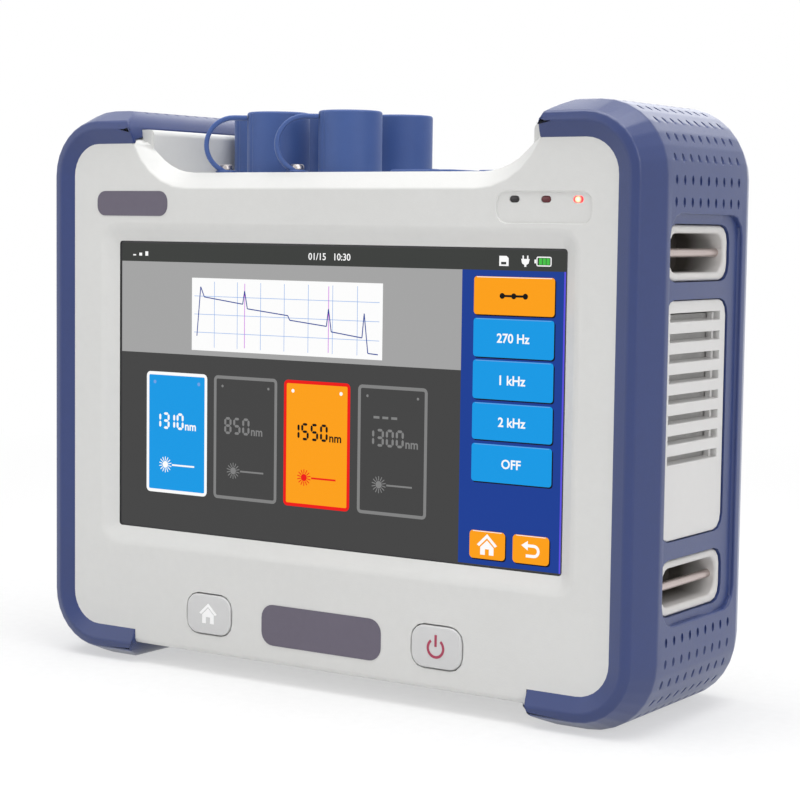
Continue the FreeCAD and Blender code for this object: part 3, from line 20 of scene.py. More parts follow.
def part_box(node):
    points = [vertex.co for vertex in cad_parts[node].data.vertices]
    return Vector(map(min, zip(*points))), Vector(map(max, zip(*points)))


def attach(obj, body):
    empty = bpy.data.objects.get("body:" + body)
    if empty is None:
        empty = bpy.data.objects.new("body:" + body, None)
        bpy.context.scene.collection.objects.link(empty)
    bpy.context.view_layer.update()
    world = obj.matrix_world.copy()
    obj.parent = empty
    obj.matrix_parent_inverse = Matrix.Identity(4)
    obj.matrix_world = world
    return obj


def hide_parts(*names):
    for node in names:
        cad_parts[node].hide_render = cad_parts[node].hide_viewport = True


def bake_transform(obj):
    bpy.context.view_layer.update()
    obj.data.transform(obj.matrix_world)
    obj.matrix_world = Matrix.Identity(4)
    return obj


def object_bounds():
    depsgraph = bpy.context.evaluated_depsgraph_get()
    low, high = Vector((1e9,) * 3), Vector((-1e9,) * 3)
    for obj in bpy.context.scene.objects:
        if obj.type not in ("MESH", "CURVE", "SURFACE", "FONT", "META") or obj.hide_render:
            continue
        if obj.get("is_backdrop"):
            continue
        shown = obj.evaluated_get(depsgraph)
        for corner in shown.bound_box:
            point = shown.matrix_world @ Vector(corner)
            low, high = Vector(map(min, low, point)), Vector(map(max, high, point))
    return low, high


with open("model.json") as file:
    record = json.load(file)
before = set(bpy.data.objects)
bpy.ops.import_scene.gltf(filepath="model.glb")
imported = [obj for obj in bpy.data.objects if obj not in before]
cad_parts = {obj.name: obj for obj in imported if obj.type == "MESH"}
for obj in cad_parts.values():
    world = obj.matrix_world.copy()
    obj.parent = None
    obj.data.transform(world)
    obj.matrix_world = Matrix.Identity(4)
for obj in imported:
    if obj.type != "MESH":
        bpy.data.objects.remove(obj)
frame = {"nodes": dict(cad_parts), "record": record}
nodes = frame["nodes"]
cad_low, cad_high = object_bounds()
random.seed(7)
print("size of the CAD model in mm", [round(v * 1000, 1) for v in cad_high - cad_low])

# %% [markdown]
# ## Units
#
# Blender works in metres, and a plastic part is easier to think about in millimetres. So
# every size below is written in millimetres and multiplied by MM where it meets a mesh.
# Places come from the boxes of the CAD nodes, so the new pieces sit where the parts are.

# %% Millimetres and node boxes
MM = 0.001
SMALL_GAP = 0.02            # keeps two flat pieces from sharing a plane


def node_box(name):
    """Lowest and highest corner of a CAD node, in millimetres."""
    low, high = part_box(name)
    return low / MM, high / MM


glass_low, glass_high = node_box("touch_panel")
SCREEN_CENTRE_X = (glass_low.x + glass_high.x) / 2
SCREEN_CENTRE_Z = (glass_low.z + glass_high.z) / 2
SCREEN_FACE_Y = glass_low.y
FRONT_FACE_Y = node_box("front_housing")[0].y
print("screen centre x, z", round(SCREEN_CENTRE_X, 2), round(SCREEN_CENTRE_Z, 2))
print("screen face y", round(SCREEN_FACE_Y, 2), "front face y", round(FRONT_FACE_Y, 2))

# %% [markdown]
# ## Camera
#
# A product picture is taken from a little to the right and just above the middle, with a
# long lens so that the box doesn't look stretched. The camera is described by the direction
# it looks from, a small roll, and how far it stands from the middle of the screen. A matrix
# whose columns are right, up and backwards then turns and places it in one step.

# %% Camera
AZIMUTH = math.radians(33.605)
ELEVATION = math.radians(4.727)
ROLL = math.radians(0.743)
LENS = 93.36
DISTANCE = 592.47           # from the lens to the middle of the screen
SHIFT_RIGHT = 20.97         # how far the view's middle is from the screen's middle
SHIFT_UP = -0.77
AIM_LEFT = 0.15
NEAREST = 0.02              # metres; nothing closer to the lens is drawn

back = Vector((math.sin(AZIMUTH) * math.cos(ELEVATION),
               -math.cos(AZIMUTH) * math.cos(ELEVATION), math.sin(ELEVATION)))
level_right = Vector((math.cos(AZIMUTH), math.sin(AZIMUTH), 0))
level_up = back.cross(level_right)
right = level_right * math.cos(ROLL) + level_up * math.sin(ROLL)
up = level_up * math.cos(ROLL) - level_right * math.sin(ROLL)
aim = Vector((SCREEN_CENTRE_X - AIM_LEFT, SCREEN_FACE_Y, SCREEN_CENTRE_Z))
eye = (aim + back * DISTANCE + right * SHIFT_RIGHT + up * SHIFT_UP) * MM

camera_data = bpy.data.cameras.new("camera")
camera_data.lens = LENS
camera_data.clip_start = NEAREST
camera = bpy.data.objects.new("camera", camera_data)
camera.matrix_world = Matrix.Translation(eye) @ Matrix((right, up, back)).transposed().to_4x4()
bpy.context.collection.objects.link(camera)
bpy.context.scene.camera = camera
print("camera at", [round(v, 4) for v in eye])

# %% [markdown]
# ## Shader maths in plain Python
#
# A material is a graph of nodes, and wiring every Math node by hand hides what the graph
# works out. The small class below wraps one output socket. Adding or multiplying two of them
# makes the Math node, so a formula reads as a formula, and the reflected forms let a number
# stand on the left, as in 1 - mask. Every other kind of node comes from one method.

# %% A socket that understands arithmetic
class Wire:
    """An output socket of a material's node tree."""

    def __init__(self, tree, socket=None):
        self.tree = tree
        self.socket = socket

    def node(self, kind, settings=None, values=None, output=0):
        """Add any node: its settings first, then the values or links of its sockets."""
        made = self.tree.nodes.new(kind)
        for name, setting in (settings or {}).items():
            setattr(made, name, setting)
        for name, value in (values or {}).items():
            feed(self.tree, find_socket(made.inputs, name), value)
        return Wire(self.tree, None if output is None else find_socket(made.outputs, output))

    def math(self, operation, *values):
        return self.node("ShaderNodeMath", {"operation": operation},
                         dict(enumerate((self,) + values)))

    def __add__(self, other):
        return self.math("ADD", other)

    __radd__ = __add__

    def __mul__(self, other):
        return self.math("MULTIPLY", other)

    __rmul__ = __mul__

    def __sub__(self, other):
        return self.math("SUBTRACT", other)

    def __rsub__(self, other):
        return (self * -1) + other

    def __abs__(self):
        return self.math("ABSOLUTE")


def find_socket(sockets, name):
    """A socket by number, by identifier or by name."""
    if isinstance(name, int):
        return sockets[name]
    by_identifier = [s for s in sockets if s.identifier == name]
    return by_identifier[0] if by_identifier else sockets[name]


def feed(tree, socket, value):
    """Link a wire to a socket, or set the socket's own value."""
    if isinstance(value, Wire):
        tree.links.new(value.socket, socket)
    else:
        socket.default_value = value


# %% [markdown]
# ## Colours
#
# Colours are written as the 0 to 255 numbers that a paint chart or a screen uses. Shaders
# work in linear light, so each one is converted on the way in. Looking at a surface in even
# light and reading its colour gives a good first value.

# %% Paint-chart colours to linear light
def colour(red, green, blue):
    def linear(part):
        share = part / 255
        return share / 12.92 if share <= 0.04045 else ((share + 0.055) / 1.055) ** 2.4
    return linear(red), linear(green), linear(blue), 1.0


def shade(rgba, factor):
    """A lighter or darker version of a linear colour."""
    return tuple(min(1.0, part * factor) for part in rgba[:3]) + (1.0,)


WHITE_PLASTIC = colour(216, 216, 214)
BLUE_RUBBER = colour(30, 50, 106)
CAP_BLUE = colour(56, 84, 144)
print("white plastic in linear light", [round(v, 3) for v in WHITE_PLASTIC])

# %% [markdown]
# ## A material with grain
#
# Moulded plastic and rubber are never one flat colour. A mould is etched, so the skin has a
# fine grain that breaks up the reflections, and handling leaves soft lighter and darker
# clouds. One function builds that recipe: a slow noise that drifts the colour and the
# roughness, and a fine noise that a Bump node turns into grain. What stays the same over the
# surface, such as the coat's roughness, is set straight on the shader's own socket.

# %% Grained finish
CLOUD_SCALE = 18.0          # clouds of wear in a metre
GLOSS_DRIFT = 0.06          # how far wear moves the roughness either way


def start_material(name):
    """An empty material, its first wire, and the point on the object in metres."""
    material = bpy.data.materials.new(name)
    material.use_nodes = True
    tree = material.node_tree
    tree.nodes.clear()
    start = Wire(tree)
    place = start.node("ShaderNodeTexCoord", output="Object")
    return material, start, place


def noise(place, scale, detail=2.0, roughness=0.5):
    return place.node("ShaderNodeTexNoise", {}, {"Vector": place, "Scale": scale, "Detail": detail,
                                                 "Roughness": roughness}, output=0)


def mix_colour(factor, first, second):
    return factor.node("ShaderNodeMix", {"data_type": "RGBA"},
                       {"Factor_Float": factor, "A_Color": first, "B_Color": second},
                       output="Result_Color")


def spread(value, low, high, to_low=0.0, to_high=1.0):
    """Stretch the range low..high of a wire to another range, cut off at both ends."""
    return value.node("ShaderNodeMapRange", {"clamp": True},
                      {"Value": value, "From Min": low, "From Max": high,
                       "To Min": to_low, "To Max": to_high})


def bump(height, depth):
    """Turn a height, 0 to 1, into a normal. depth is in metres."""
    return height.node("ShaderNodeBump", {}, {"Height": height, "Distance": depth})


def finish_material(start, values):
    """The shader at the end of a material: values are links or numbers of its sockets."""
    shader = start.node("ShaderNodeBsdfPrincipled", {}, values)
    return start.node("ShaderNodeOutputMaterial", {}, {"Surface": shader}, output=None)


def grained(name, base, roughness, grain_size, grain_depth, drift=0.05, **constants):
    """Moulded skin: colour clouds, uneven gloss and a fine etched grain."""
    material, start, place = start_material(name)
    clouds = noise(place, CLOUD_SCALE, 3.0)
    specks = noise(place, 1 / (grain_size * 6 * MM), 2.0)
    tone = spread(clouds * 0.7 + specks * 0.3, 0.35, 0.65)
    base_colour = mix_colour(tone, shade(base, 1 - drift), shade(base, 1 + drift))
    gloss = spread(clouds, 0.3, 0.7, roughness - GLOSS_DRIFT, roughness + GLOSS_DRIFT)
    grain = noise(place, 1 / (grain_size * MM), 3.0, 0.6)
    values = {"Base Color": base_colour, "Roughness": gloss,
              "Normal": bump(grain, grain_depth * MM)}
    values.update({socket.replace("_", " "): value for socket, value in constants.items()})
    finish_material(start, values)
    return material


# %% [markdown]
# ## Metals
#
# Turned and pressed metal shows its tool marks as fine lines. The lines come from a noise
# that is squeezed along one direction, and they feed the roughness more than the height,
# because a scratch is mostly seen as a change of gloss.

# %% Brushed finish
def brushed(name, base, roughness, squeeze=(1.0, 1.0, 12.0)):
    """Bare metal with fine lines; squeeze packs them along one axis."""
    material, start, place = start_material(name)
    stretched = place.node("ShaderNodeVectorMath", {"operation": "MULTIPLY"},
                           {0: place, 1: squeeze})
    lines = noise(stretched, 900.0, 4.0, 0.7)
    clouds = noise(place, 60.0, 2.0)
    tone = spread(clouds, 0.3, 0.7)
    base_colour = mix_colour(tone, shade(base, 0.88), base)
    gloss = spread(lines, 0.3, 0.7, roughness - 0.08, roughness + 0.1)
    finish_material(start, {"Base Color": base_colour, "Roughness": gloss, "Metallic": 1.0,
                            "Normal": bump(lines, 0.01 * MM)})
    return material


# %% [markdown]
# ## One finish per material of the record
#
# The record names a material slot for every CAD node. Giving each slot one finish keeps the
# set consistent: both bumpers are the same rubber, and every screw is the same steel. Clear
# parts mix a glass with a see-through shader, so they stay quick to render and keep a
# highlight.

# %% Finishes for the slots
def clear_finish(name, tint, opacity, roughness=0.03, milk=1.0):
    """Thin clear part, mostly see-through, with a reflection on top; milk makes it paler."""
    material, start, place = start_material(name)
    smudge = spread(noise(place, 45.0, 3.0), 0.45, 0.75)
    gloss = smudge * 0.10 + roughness
    skin = start.node("ShaderNodeBsdfPrincipled", {}, {"Base Color": shade(tint, milk),
                                                      "Roughness": gloss})
    hole = start.node("ShaderNodeBsdfTransparent", {}, {"Color": tint})
    share = opacity + 0.05 * smudge
    mixed = start.node("ShaderNodeMixShader", {}, {0: share, 1: hole, 2: skin})
    start.node("ShaderNodeOutputMaterial", {}, {"Surface": mixed}, output=None)
    return material


def board_finish(name):
    """Green solder mask over copper tracks, on a grid of fine steps."""
    material, start, place = start_material(name)
    grid = place.node("ShaderNodeTexBrick", {"offset": 0.5},
                      {"Vector": place, "Scale": 160.0, "Mortar Size": 0.06}, output="Fac")
    clouds = noise(place, 240.0, 4.0)
    tracks = spread(clouds * 0.6 + grid * 0.4, 0.42, 0.5)
    green = mix_colour(tracks, colour(20, 74, 48), colour(42, 112, 66))
    finish_material(start, {"Base Color": green, "Roughness": spread(clouds, 0.3, 0.7, 0.3, 0.5),
                            "Normal": bump(tracks, 0.03 * MM)})
    return material


finishes = {
    "housing": grained("white_plastic", WHITE_PLASTIC, 0.42, 0.45, 0.035, drift=0.02),
    "key": grained("key_plastic", colour(213, 213, 212), 0.36, 0.35, 0.02, drift=0.02),
    "bumper": grained("blue_rubber", BLUE_RUBBER, 0.36, 0.4, 0.05, drift=0.05, Sheen_Weight=0.15,
                      Sheen_Roughness=0.42, Sheen_Tint=(0.72, 0.8, 1.0, 1.0),
                      Coat_Weight=0.3, Coat_Roughness=0.3),
    "cap": grained("cap_rubber", CAP_BLUE, 0.55, 0.5, 0.04, drift=0.05, Sheen_Weight=0.15,
                   Sheen_Roughness=0.5, Sheen_Tint=(0.72, 0.8, 1.0, 1.0)),
    "seal": grained("black_rubber", colour(40, 40, 42), 0.7, 0.5, 0.05, drift=0.1),
    "glass": clear_finish("screen_glass", colour(200, 205, 210), 0.05, milk=0.03),
    "display": grained("display_back", colour(28, 28, 32), 0.3, 0.6, 0.01, drift=0.1),
    "light_pipe": clear_finish("light_pipe", colour(225, 225, 220), 0.75, 0.2),
    "black_plastic": grained("black_plastic", colour(38, 38, 40), 0.45, 0.5, 0.04, drift=0.1),
    "circuit_board": board_finish("circuit_board"),
    "sheet_metal": brushed("sheet_metal", colour(176, 178, 180), 0.38),
    "steel": brushed("steel", colour(188, 182, 180), 0.3),
    "aluminium": brushed("aluminium", colour(190, 192, 196), 0.4, (12.0, 1.0, 1.0)),
    "adapter_metal": brushed("adapter_metal", colour(196, 190, 178), 0.28),
    "brass": brushed("brass", colour(206, 172, 96), 0.3),
    "ceramic": grained("ceramic", colour(240, 238, 232), 0.2, 0.8, 0.005, drift=0.03),
}
print("finishes", sorted(finishes))

# %% Give every CAD node the finish of its slot
slot_of = {part["node"]: part["material_slot"] for part in frame["record"]["subparts"]}
for name, obj in nodes.items():
    obj.data.materials.clear()
    obj.data.materials.append(finishes[slot_of[name]])
seal_grey = grained("seal_grey", colour(150, 150, 150), 0.7, 0.5, 0.05)
nodes["housing_seal"].data.materials[0] = seal_grey
print("nodes with a finish", len(slot_of))

# %% [markdown]
# ## Stage and light
#
# The instrument stands on a pale floor in a bright room. Four large soft lamps do the work:
# one overhead makes the top faces the brightest, one at the front left lights the screen
# side, one at the right opens the shadows of the side windows, and one lights the back. A
# lamp's power is worked out from the brightness that its face should have, so that a plain
# white card in front of it comes out white and not burnt.

# %% Floor and world
FLOOR_HALF = 3.0
FLOOR_SHADED = 0.2          # metres from the middle at which the shadow starts to fade
FLOOR_CLEAR = 0.75          # and at which the floor is plain white
SHADOW_SHARE = 0.45         # how much of the matt floor shows under the object


def floor_finish():
    material, start, place = start_material("pale_floor")
    distance = place.node("ShaderNodeVectorMath", {"operation": "LENGTH"}, {0: place},
                          output="Value")
    away = spread(distance, FLOOR_SHADED, FLOOR_CLEAR)
    seen = start.node("ShaderNodeLightPath", output="Is Camera Ray")
    mirrored_ray = start.node("ShaderNodeLightPath", output="Is Glossy Ray")
    glow = start.node("ShaderNodeEmission", {}, {"Color": (1, 1, 1, 1), "Strength": 1.0})
    speckle = spread(noise(place, 300.0, 2.0), 0.3, 0.7)
    tone = mix_colour(speckle, (0.84, 0.84, 0.84, 1), (0.88, 0.88, 0.88, 1))
    matt = start.node("ShaderNodeBsdfDiffuse", {}, {"Color": tone})
    glowing = 1 - (1 - away) * SHADOW_SHARE
    mixed = start.node("ShaderNodeMixShader", {},
                       {0: (seen + mirrored_ray) * glowing, 1: matt, 2: glow})
    start.node("ShaderNodeOutputMaterial", {}, {"Surface": mixed}, output=None)
    return material


def flat_square(name, half):
    mesh = bpy.data.meshes.new(name)
    mesh.from_pydata([(-half, -half, 0), (half, -half, 0), (half, half, 0), (-half, half, 0)],
                     [], [(0, 1, 2, 3)])
    made = bpy.data.objects.new(name, mesh)
    bpy.context.collection.objects.link(made)
    return made


floor = flat_square("floor", FLOOR_HALF)
floor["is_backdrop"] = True
floor.data.materials.append(floor_finish())

world = bpy.data.worlds.new("studio")
world.use_nodes = True
world.node_tree.nodes.clear()
sky = Wire(world.node_tree)
ray = sky.node("ShaderNodeLightPath", output="Is Camera Ray")
glossy = sky.node("ShaderNodeLightPath", output="Is Glossy Ray")
through = sky.node("ShaderNodeLightPath", output="Is Transmission Ray")
AMBIENT = 0.34              # strength of the room's light on the object
MIRRORED = 0.9              # share of the bright backdrop that reflections show
seen_directly = (ray + glossy * MIRRORED + through).math("MINIMUM", 1.0)
room = sky.node("ShaderNodeBackground", {}, {"Color": (1, 1, 1, 1), "Strength": AMBIENT})
backdrop = sky.node("ShaderNodeBackground", {}, {"Color": (1, 1, 1, 1), "Strength": 1.0})
both = sky.node("ShaderNodeMixShader", {}, {0: seen_directly, 1: room, 2: backdrop})
sky.node("ShaderNodeOutputWorld", {}, {"Surface": both}, output=None)
bpy.context.scene.world = world
print("ambient light", AMBIENT)

# %% Lamps
OBJECT_MIDDLE = (cad_low + cad_high) / 2


def softbox(name, place, width, height, brightness):
    """An area lamp aimed at the object; brightness is that of its glowing face."""
    lamp = bpy.data.lights.new(name, "AREA")
    lamp.shape = "RECTANGLE"
    lamp.size = width
    lamp.size_y = height
    lamp.energy = brightness * math.pi * width * height
    made = bpy.data.objects.new(name, lamp)
    made.location = place
    direction = OBJECT_MIDDLE - Vector(place)
    made.rotation_euler = direction.to_track_quat("-Z", "Y").to_euler()
    bpy.context.collection.objects.link(made)
    return made


softbox("lamp_overhead", (0.05, -0.1, 1.2), 1.3, 1.1, 3.5)
softbox("lamp_front_left", (-0.9, -1.3, 0.6), 1.0, 0.9, 0.9)
softbox("lamp_right", (1.3, -0.5, 0.7), 0.9, 0.9, 2.05)
softbox("lamp_rear", (-0.4, 1.4, 0.7), 1.0, 0.8, 1.4)

# %% [markdown]
# ## Tools for building meshes
#
# The pieces that follow are drawn as outlines on a flat sheet and given a thickness, the way
# a sign maker cuts vinyl. A bmesh is Blender's editable mesh: faces go in, the normals are
# turned outwards, and the result becomes an object. Outlines are lists of points, so one
# function can make every closed plate, whatever its shape. A sheet is a function that turns
# a point of the outline and a height into a place on the object.

# %% Outlines on a sheet
def arc(u, v, radius, start, sweep, steps):
    """Points of an arc about (u, v), with its first direction and its sweep in degrees."""
    turns = [math.radians(start + sweep * i / steps) for i in range(steps + 1)]
    return [(u + radius * math.cos(turn), v + radius * math.sin(turn)) for turn in turns]


def square(u0, u1, v0, v1):
    """Corner points of a rectangle."""
    return [(u0, v0), (u1, v0), (u1, v1), (u0, v1)]


def rounded(u0, u1, v0, v1, radius, steps=4):
    """Corner points of a rounded rectangle."""
    points = []
    for hub_u, hub_v, start in ((u1 - radius, v1 - radius, 0), (u0 + radius, v1 - radius, 90),
                                (u0 + radius, v0 + radius, 180), (u1 - radius, v0 + radius, 270)):
        points += arc(hub_u, hub_v, radius, start, 90, steps)
    return points


def disc(u, v, radius, steps=20):
    """Points of a circle."""
    return [(u + radius * math.cos(2 * math.pi * i / steps),
             v + radius * math.sin(2 * math.pi * i / steps)) for i in range(steps)]


def stroke(u0, v0, u1, v1, width):
    """A straight line with a width, as four corner points."""
    along = Vector((u1 - u0, v1 - v0)).normalized()
    side = Vector((-along.y, along.x)) * width / 2
    ends = Vector((u0, v0)), Vector((u1, v1))
    return [tuple(ends[0] + side), tuple(ends[1] + side), tuple(ends[1] - side),
            tuple(ends[0] - side)]


def lying(x, y):
    """A sheet that lies flat, with heights counted upwards."""
    return lambda u, v, height: Vector((x + u, y + v, height))


def facing_front(x, y, z):
    """A sheet that stands upright, with heights counted from y to the front."""
    return lambda u, v, height: Vector((x + u, y - height, z + v))


def facing_back(x, y, z):
    """A sheet that stands upright, with heights counted from y to the back."""
    return lambda u, v, height: Vector((x + u, y + height, z + v))


def skin(bm, rings):
    """Faces between neighbouring rings of points; a ring may shrink to one point."""
    for near, far in zip(rings, rings[1:]):
        for i in range(len(near)):
            corners = list(dict.fromkeys((near[i - 1], near[i], far[i], far[i - 1])))
            if len(corners) > 2:
                bm.faces.new(corners)


def closed_skin(bm, rings):
    """A skin with a face over each end."""
    bm.faces.new(rings[0])
    bm.faces.new(rings[-1])
    skin(bm, rings)


def plate(bm, outline, place, low, high):
    """Closed plate between two heights over a sheet, which place describes."""
    closed_skin(bm, [[bm.verts.new(place(u, v, height)) for u, v in outline]
                     for height in (low, high)])


def frame_plate(bm, outer, inner, place, low, high):
    """Closed ring between two outlines that have the same number of points."""
    rings = [[bm.verts.new(place(u, v, height)) for u, v in outline]
             for outline, height in ((outer, low), (outer, high), (inner, high), (inner, low))]
    skin(bm, rings + rings[:1])


print("corners of a rounded rectangle", len(rounded(0, 2, 0, 1, 0.2)))

# %% From a bmesh to a piece of the object
SHARP_OVER = math.radians(30)         # edges that turn by more stay crisp in the shading


def make_piece(name, bm, finish, body="housing"):
    """Turn a closed bmesh in millimetres into an object; with a body it rides on it."""
    bmesh.ops.recalc_face_normals(bm, faces=bm.faces)
    bm.transform(Matrix.Scale(MM, 4))
    mesh = bpy.data.meshes.new(name)
    bm.to_mesh(mesh)
    bm.free()
    mesh.shade_smooth()
    mesh.set_sharp_from_angle(angle=SHARP_OVER)
    mesh.materials.append(finish)
    piece = bpy.data.objects.new(name, mesh)
    bpy.context.collection.objects.link(piece)
    if body:
        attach(piece, body)
    return piece


# %% [markdown]
# ## Writing and numbers
#
# The picture on a test set's screen is mostly numbers. Large ones use the seven bars of a
# liquid crystal display, so they are drawn as bars. Small ones come from Blender's own font,
# turned into a mesh and welded so that each letter is a closed plate.

# %% Seven-bar digits and small letters
BARS = {"0": "abcdef", "1": "bc", "2": "abged", "3": "abgcd", "5": "afgcd", "8": "abcdefg"}
DIGIT_WIDTH = 2.7
DIGIT_HEIGHT = 5.0
BAR_WIDTH = 0.74
BAR_GAP = 0.12
NARROW_STEP, USUAL_STEP = 2.1, 3.35
LETTER_WELD = 0.004         # points of a letter that are closer are one point


def bar_outline(name, u, v):
    """Outline of one bar with pointed ends; u, v is the digit's top left corner."""
    w, h, t = DIGIT_WIDTH, DIGIT_HEIGHT, BAR_WIDTH / 2
    across = {"a": 0.0, "g": h / 2, "d": h}
    upright = {"f": (t, t, h / 2), "b": (w - t, t, h / 2),
               "e": (t, h / 2, h - t), "c": (w - t, h / 2, h - t)}
    if name in across:
        level = min(max(across[name], t), h - t)
        left, far = u + t + BAR_GAP, u + w - t - BAR_GAP
        middle = v + level
        return [(left, middle), (left + t, middle - t), (far - t, middle - t), (far, middle),
                (far - t, middle + t), (left + t, middle + t)]
    middle, start, end = upright[name]
    middle, start, end = u + middle, v + start + BAR_GAP, v + end - BAR_GAP
    return [(middle, start), (middle + t, start + t), (middle + t, end - t), (middle, end),
            (middle - t, end - t), (middle - t, start + t)]


def digits(bm, text, u, v, place, low, high):
    """Seven-bar digits from left to right; returns where the next one would start."""
    for figure in text:
        narrow = figure == "1"
        start = u - (DIGIT_WIDTH - BAR_WIDTH) * 0.6 if narrow else u
        for bar in BARS[figure]:
            plate(bm, bar_outline(bar, start, v), place, low, high)
        u += NARROW_STEP if narrow else USUAL_STEP
    return u


def letters(bm, text, height, u, v, place, low, high, bold):
    """Letters of the built-in font, centred on (u, v); height is that of the whole line."""
    curve = bpy.data.curves.new("letters", "FONT")
    curve.body = text
    curve.size = 1.0
    curve.resolution_u = 3
    curve.offset = bold
    curve.extrude = 0.05
    holder = bpy.data.objects.new("letters", curve)
    mesh = bpy.data.meshes.new_from_object(holder)
    corners = [p.co for p in mesh.vertices]
    left, far = min(c.x for c in corners), max(c.x for c in corners)
    bottom, top = min(c.y for c in corners), max(c.y for c in corners)
    scale = height / (top - bottom)
    for point in mesh.vertices:
        new_u = u + (point.co.x - (left + far) / 2) * scale
        new_v = v - (point.co.y - (bottom + top) / 2) * scale
        point.co = place(new_u, new_v, high if point.co.z > 0 else low)
    welded = bmesh.new()
    welded.from_mesh(mesh)
    bmesh.ops.remove_doubles(welded, verts=welded.verts, dist=LETTER_WELD)
    welded.to_mesh(mesh)
    welded.free()
    bm.from_mesh(mesh)
    bpy.data.objects.remove(holder)
    bpy.data.curves.remove(curve)
    bpy.data.meshes.remove(mesh)


print("digit", DIGIT_WIDTH, "x", DIGIT_HEIGHT, "mm with bars of", BAR_WIDTH)

# %% [markdown]
# ## Light from a screen
#
# A lit screen shines by itself. Its picture is a grid of tiny red, green and blue stripes
# that melt together from a distance, under smooth glass that still mirrors the room. The
# finish below keeps a dark base, puts the colour into the emission, dims it slightly in a
# fine grid, and leaves a faint gloss with smears.

# %% Lit finish
SCREEN_DOT = 0.151          # width of one dot of a seven inch panel, in millimetres


def lit(name, glow):
    """Glowing picture under glass, dimmed in a grid of dots and rows."""
    material, start, place = start_material(name)
    x_part = place.node("ShaderNodeSeparateXYZ", {}, {0: place}, output="X")
    z_part = Wire(start.tree, x_part.socket.node.outputs["Z"])
    turns = 2 * math.pi / (SCREEN_DOT * MM)
    dots = (x_part * turns).math("SINE") * 0.04 + 0.97
    rows = (z_part * turns).math("SINE") * 0.03 + 0.99
    dimmed = start.node("ShaderNodeMix", {"data_type": "RGBA", "blend_type": "MULTIPLY"},
                        {"Factor_Float": 1.0, "A_Color": glow, "B_Color": grey_of(dots * rows)},
                        output="Result_Color")
    smears = spread(noise(place, 30.0, 3.0), 0.35, 0.75)
    finish_material(start, {"Base Color": shade(glow, 0.06), "Emission Color": dimmed,
                            "Emission Strength": 1.0, "Roughness": smears * 0.1 + 0.16,
                            "Specular IOR Level": 0.1})
    return material


def grey_of(value):
    """A colour whose three parts are one number."""
    return value.node("ShaderNodeCombineColor", {}, {0: value, 1: value, 2: value})


SCREEN_COLOURS = {
    "dark": (66, 66, 66), "bar": (58, 60, 58), "grey": (162, 162, 162), "faint": (128, 128, 128),
    "white": (250, 250, 250), "column": (24, 60, 146), "sky": (14, 151, 226),
    "orange": (250, 158, 16), "red": (235, 20, 16), "black": (10, 10, 10),
    "green": (70, 190, 70), "line": (110, 160, 226), "mauve": (200, 90, 220),
    "edge": (90, 80, 225),
}
screen_finishes = {name: lit("screen_" + name, colour(*parts))
                   for name, parts in SCREEN_COLOURS.items()}
print("screen colours", sorted(screen_finishes))

# %% [markdown]
# ## The picture on the screen
#
# The lit area is measured from its top left corner, u to the right and v down, as a designer
# of screens would. Each colour is collected in one mesh, and later layers lie a hair in
# front of earlier ones. The layout is a test set's source page: four tiles for wavelengths,
# a column of buttons on the right and a drawing at the top. The drawing here is a plain
# trace of an echo measurement on a grid.

# %% Layers of the screen
LIT_WIDTH = 154.2
LIT_HEIGHT = 85.9
LAYER = 0.05                # from one level to the next
LAYER_BODY = 0.6            # share of a level that its plates fill
screen_layers = {}


def on_screen(u, v, height):
    """A place on the screen, counted from the lit area's top left corner."""
    return Vector((SCREEN_CENTRE_X - LIT_WIDTH / 2 + u, SCREEN_FACE_Y - height,
                   SCREEN_CENTRE_Z + LIT_HEIGHT / 2 - v))


def layer(colour_name, level):
    """The mesh that collects a colour, and the two heights of a level."""
    bm = screen_layers.setdefault(colour_name, bmesh.new())
    low = SMALL_GAP + level * LAYER
    return bm, on_screen, low, low + LAYER * LAYER_BODY


def flat(colour_name, level, outline):
    """Thin plate of one colour."""
    bm, place, low, high = layer(colour_name, level)
    plate(bm, outline, place, low, high)


def block(colour_name, level, u0, u1, v0, v1, radius=0.0):
    """Filled rectangle, with round corners where it is given a radius."""
    flat(colour_name, level,
         rounded(u0, u1, v0, v1, radius) if radius else square(u0, u1, v0, v1))


def ring(colour_name, level, u0, u1, v0, v1, radius, width):
    """Rounded frame of one colour."""
    bm, place, low, high = layer(colour_name, level)
    inner_radius = max(radius - width, 0.1)
    inner = rounded(u0 + width, u1 - width, v0 + width, v1 - width, inner_radius)
    frame_plate(bm, rounded(u0, u1, v0, v1, radius), inner, place, low, high)


COLUMN_U = 122.0            # left edge of the column of buttons
BAR_V = 5.5                 # bottom of the bar along the top
DRAWING_V = 33.0            # bottom of the grey field
EDGE_U = LIT_WIDTH - 0.5    # left side of the thin line at the right
block("bar", 0, 0, LIT_WIDTH, 0, BAR_V)
block("grey", 0, 0, COLUMN_U, BAR_V, DRAWING_V)
block("dark", 0, 0, COLUMN_U, DRAWING_V, LIT_HEIGHT)
block("column", 0, COLUMN_U, EDGE_U, BAR_V, LIT_HEIGHT)
block("edge", 0, EDGE_U, LIT_WIDTH, BAR_V, LIT_HEIGHT)
print("fields on the screen", len(screen_layers))

# %% The four wavelength tiles
TILE_V = (38.6, 75.2)
TILE_WIDTH = 23.4
TILE_CORNER, TILE_RIM, RIM_TO_FILL = 1.4, 0.95, 0.4
NUMBER_V, UNIT_V, MARK_V = 50.8, 54.9, 66.6     # top of the number, middles of nm and mark
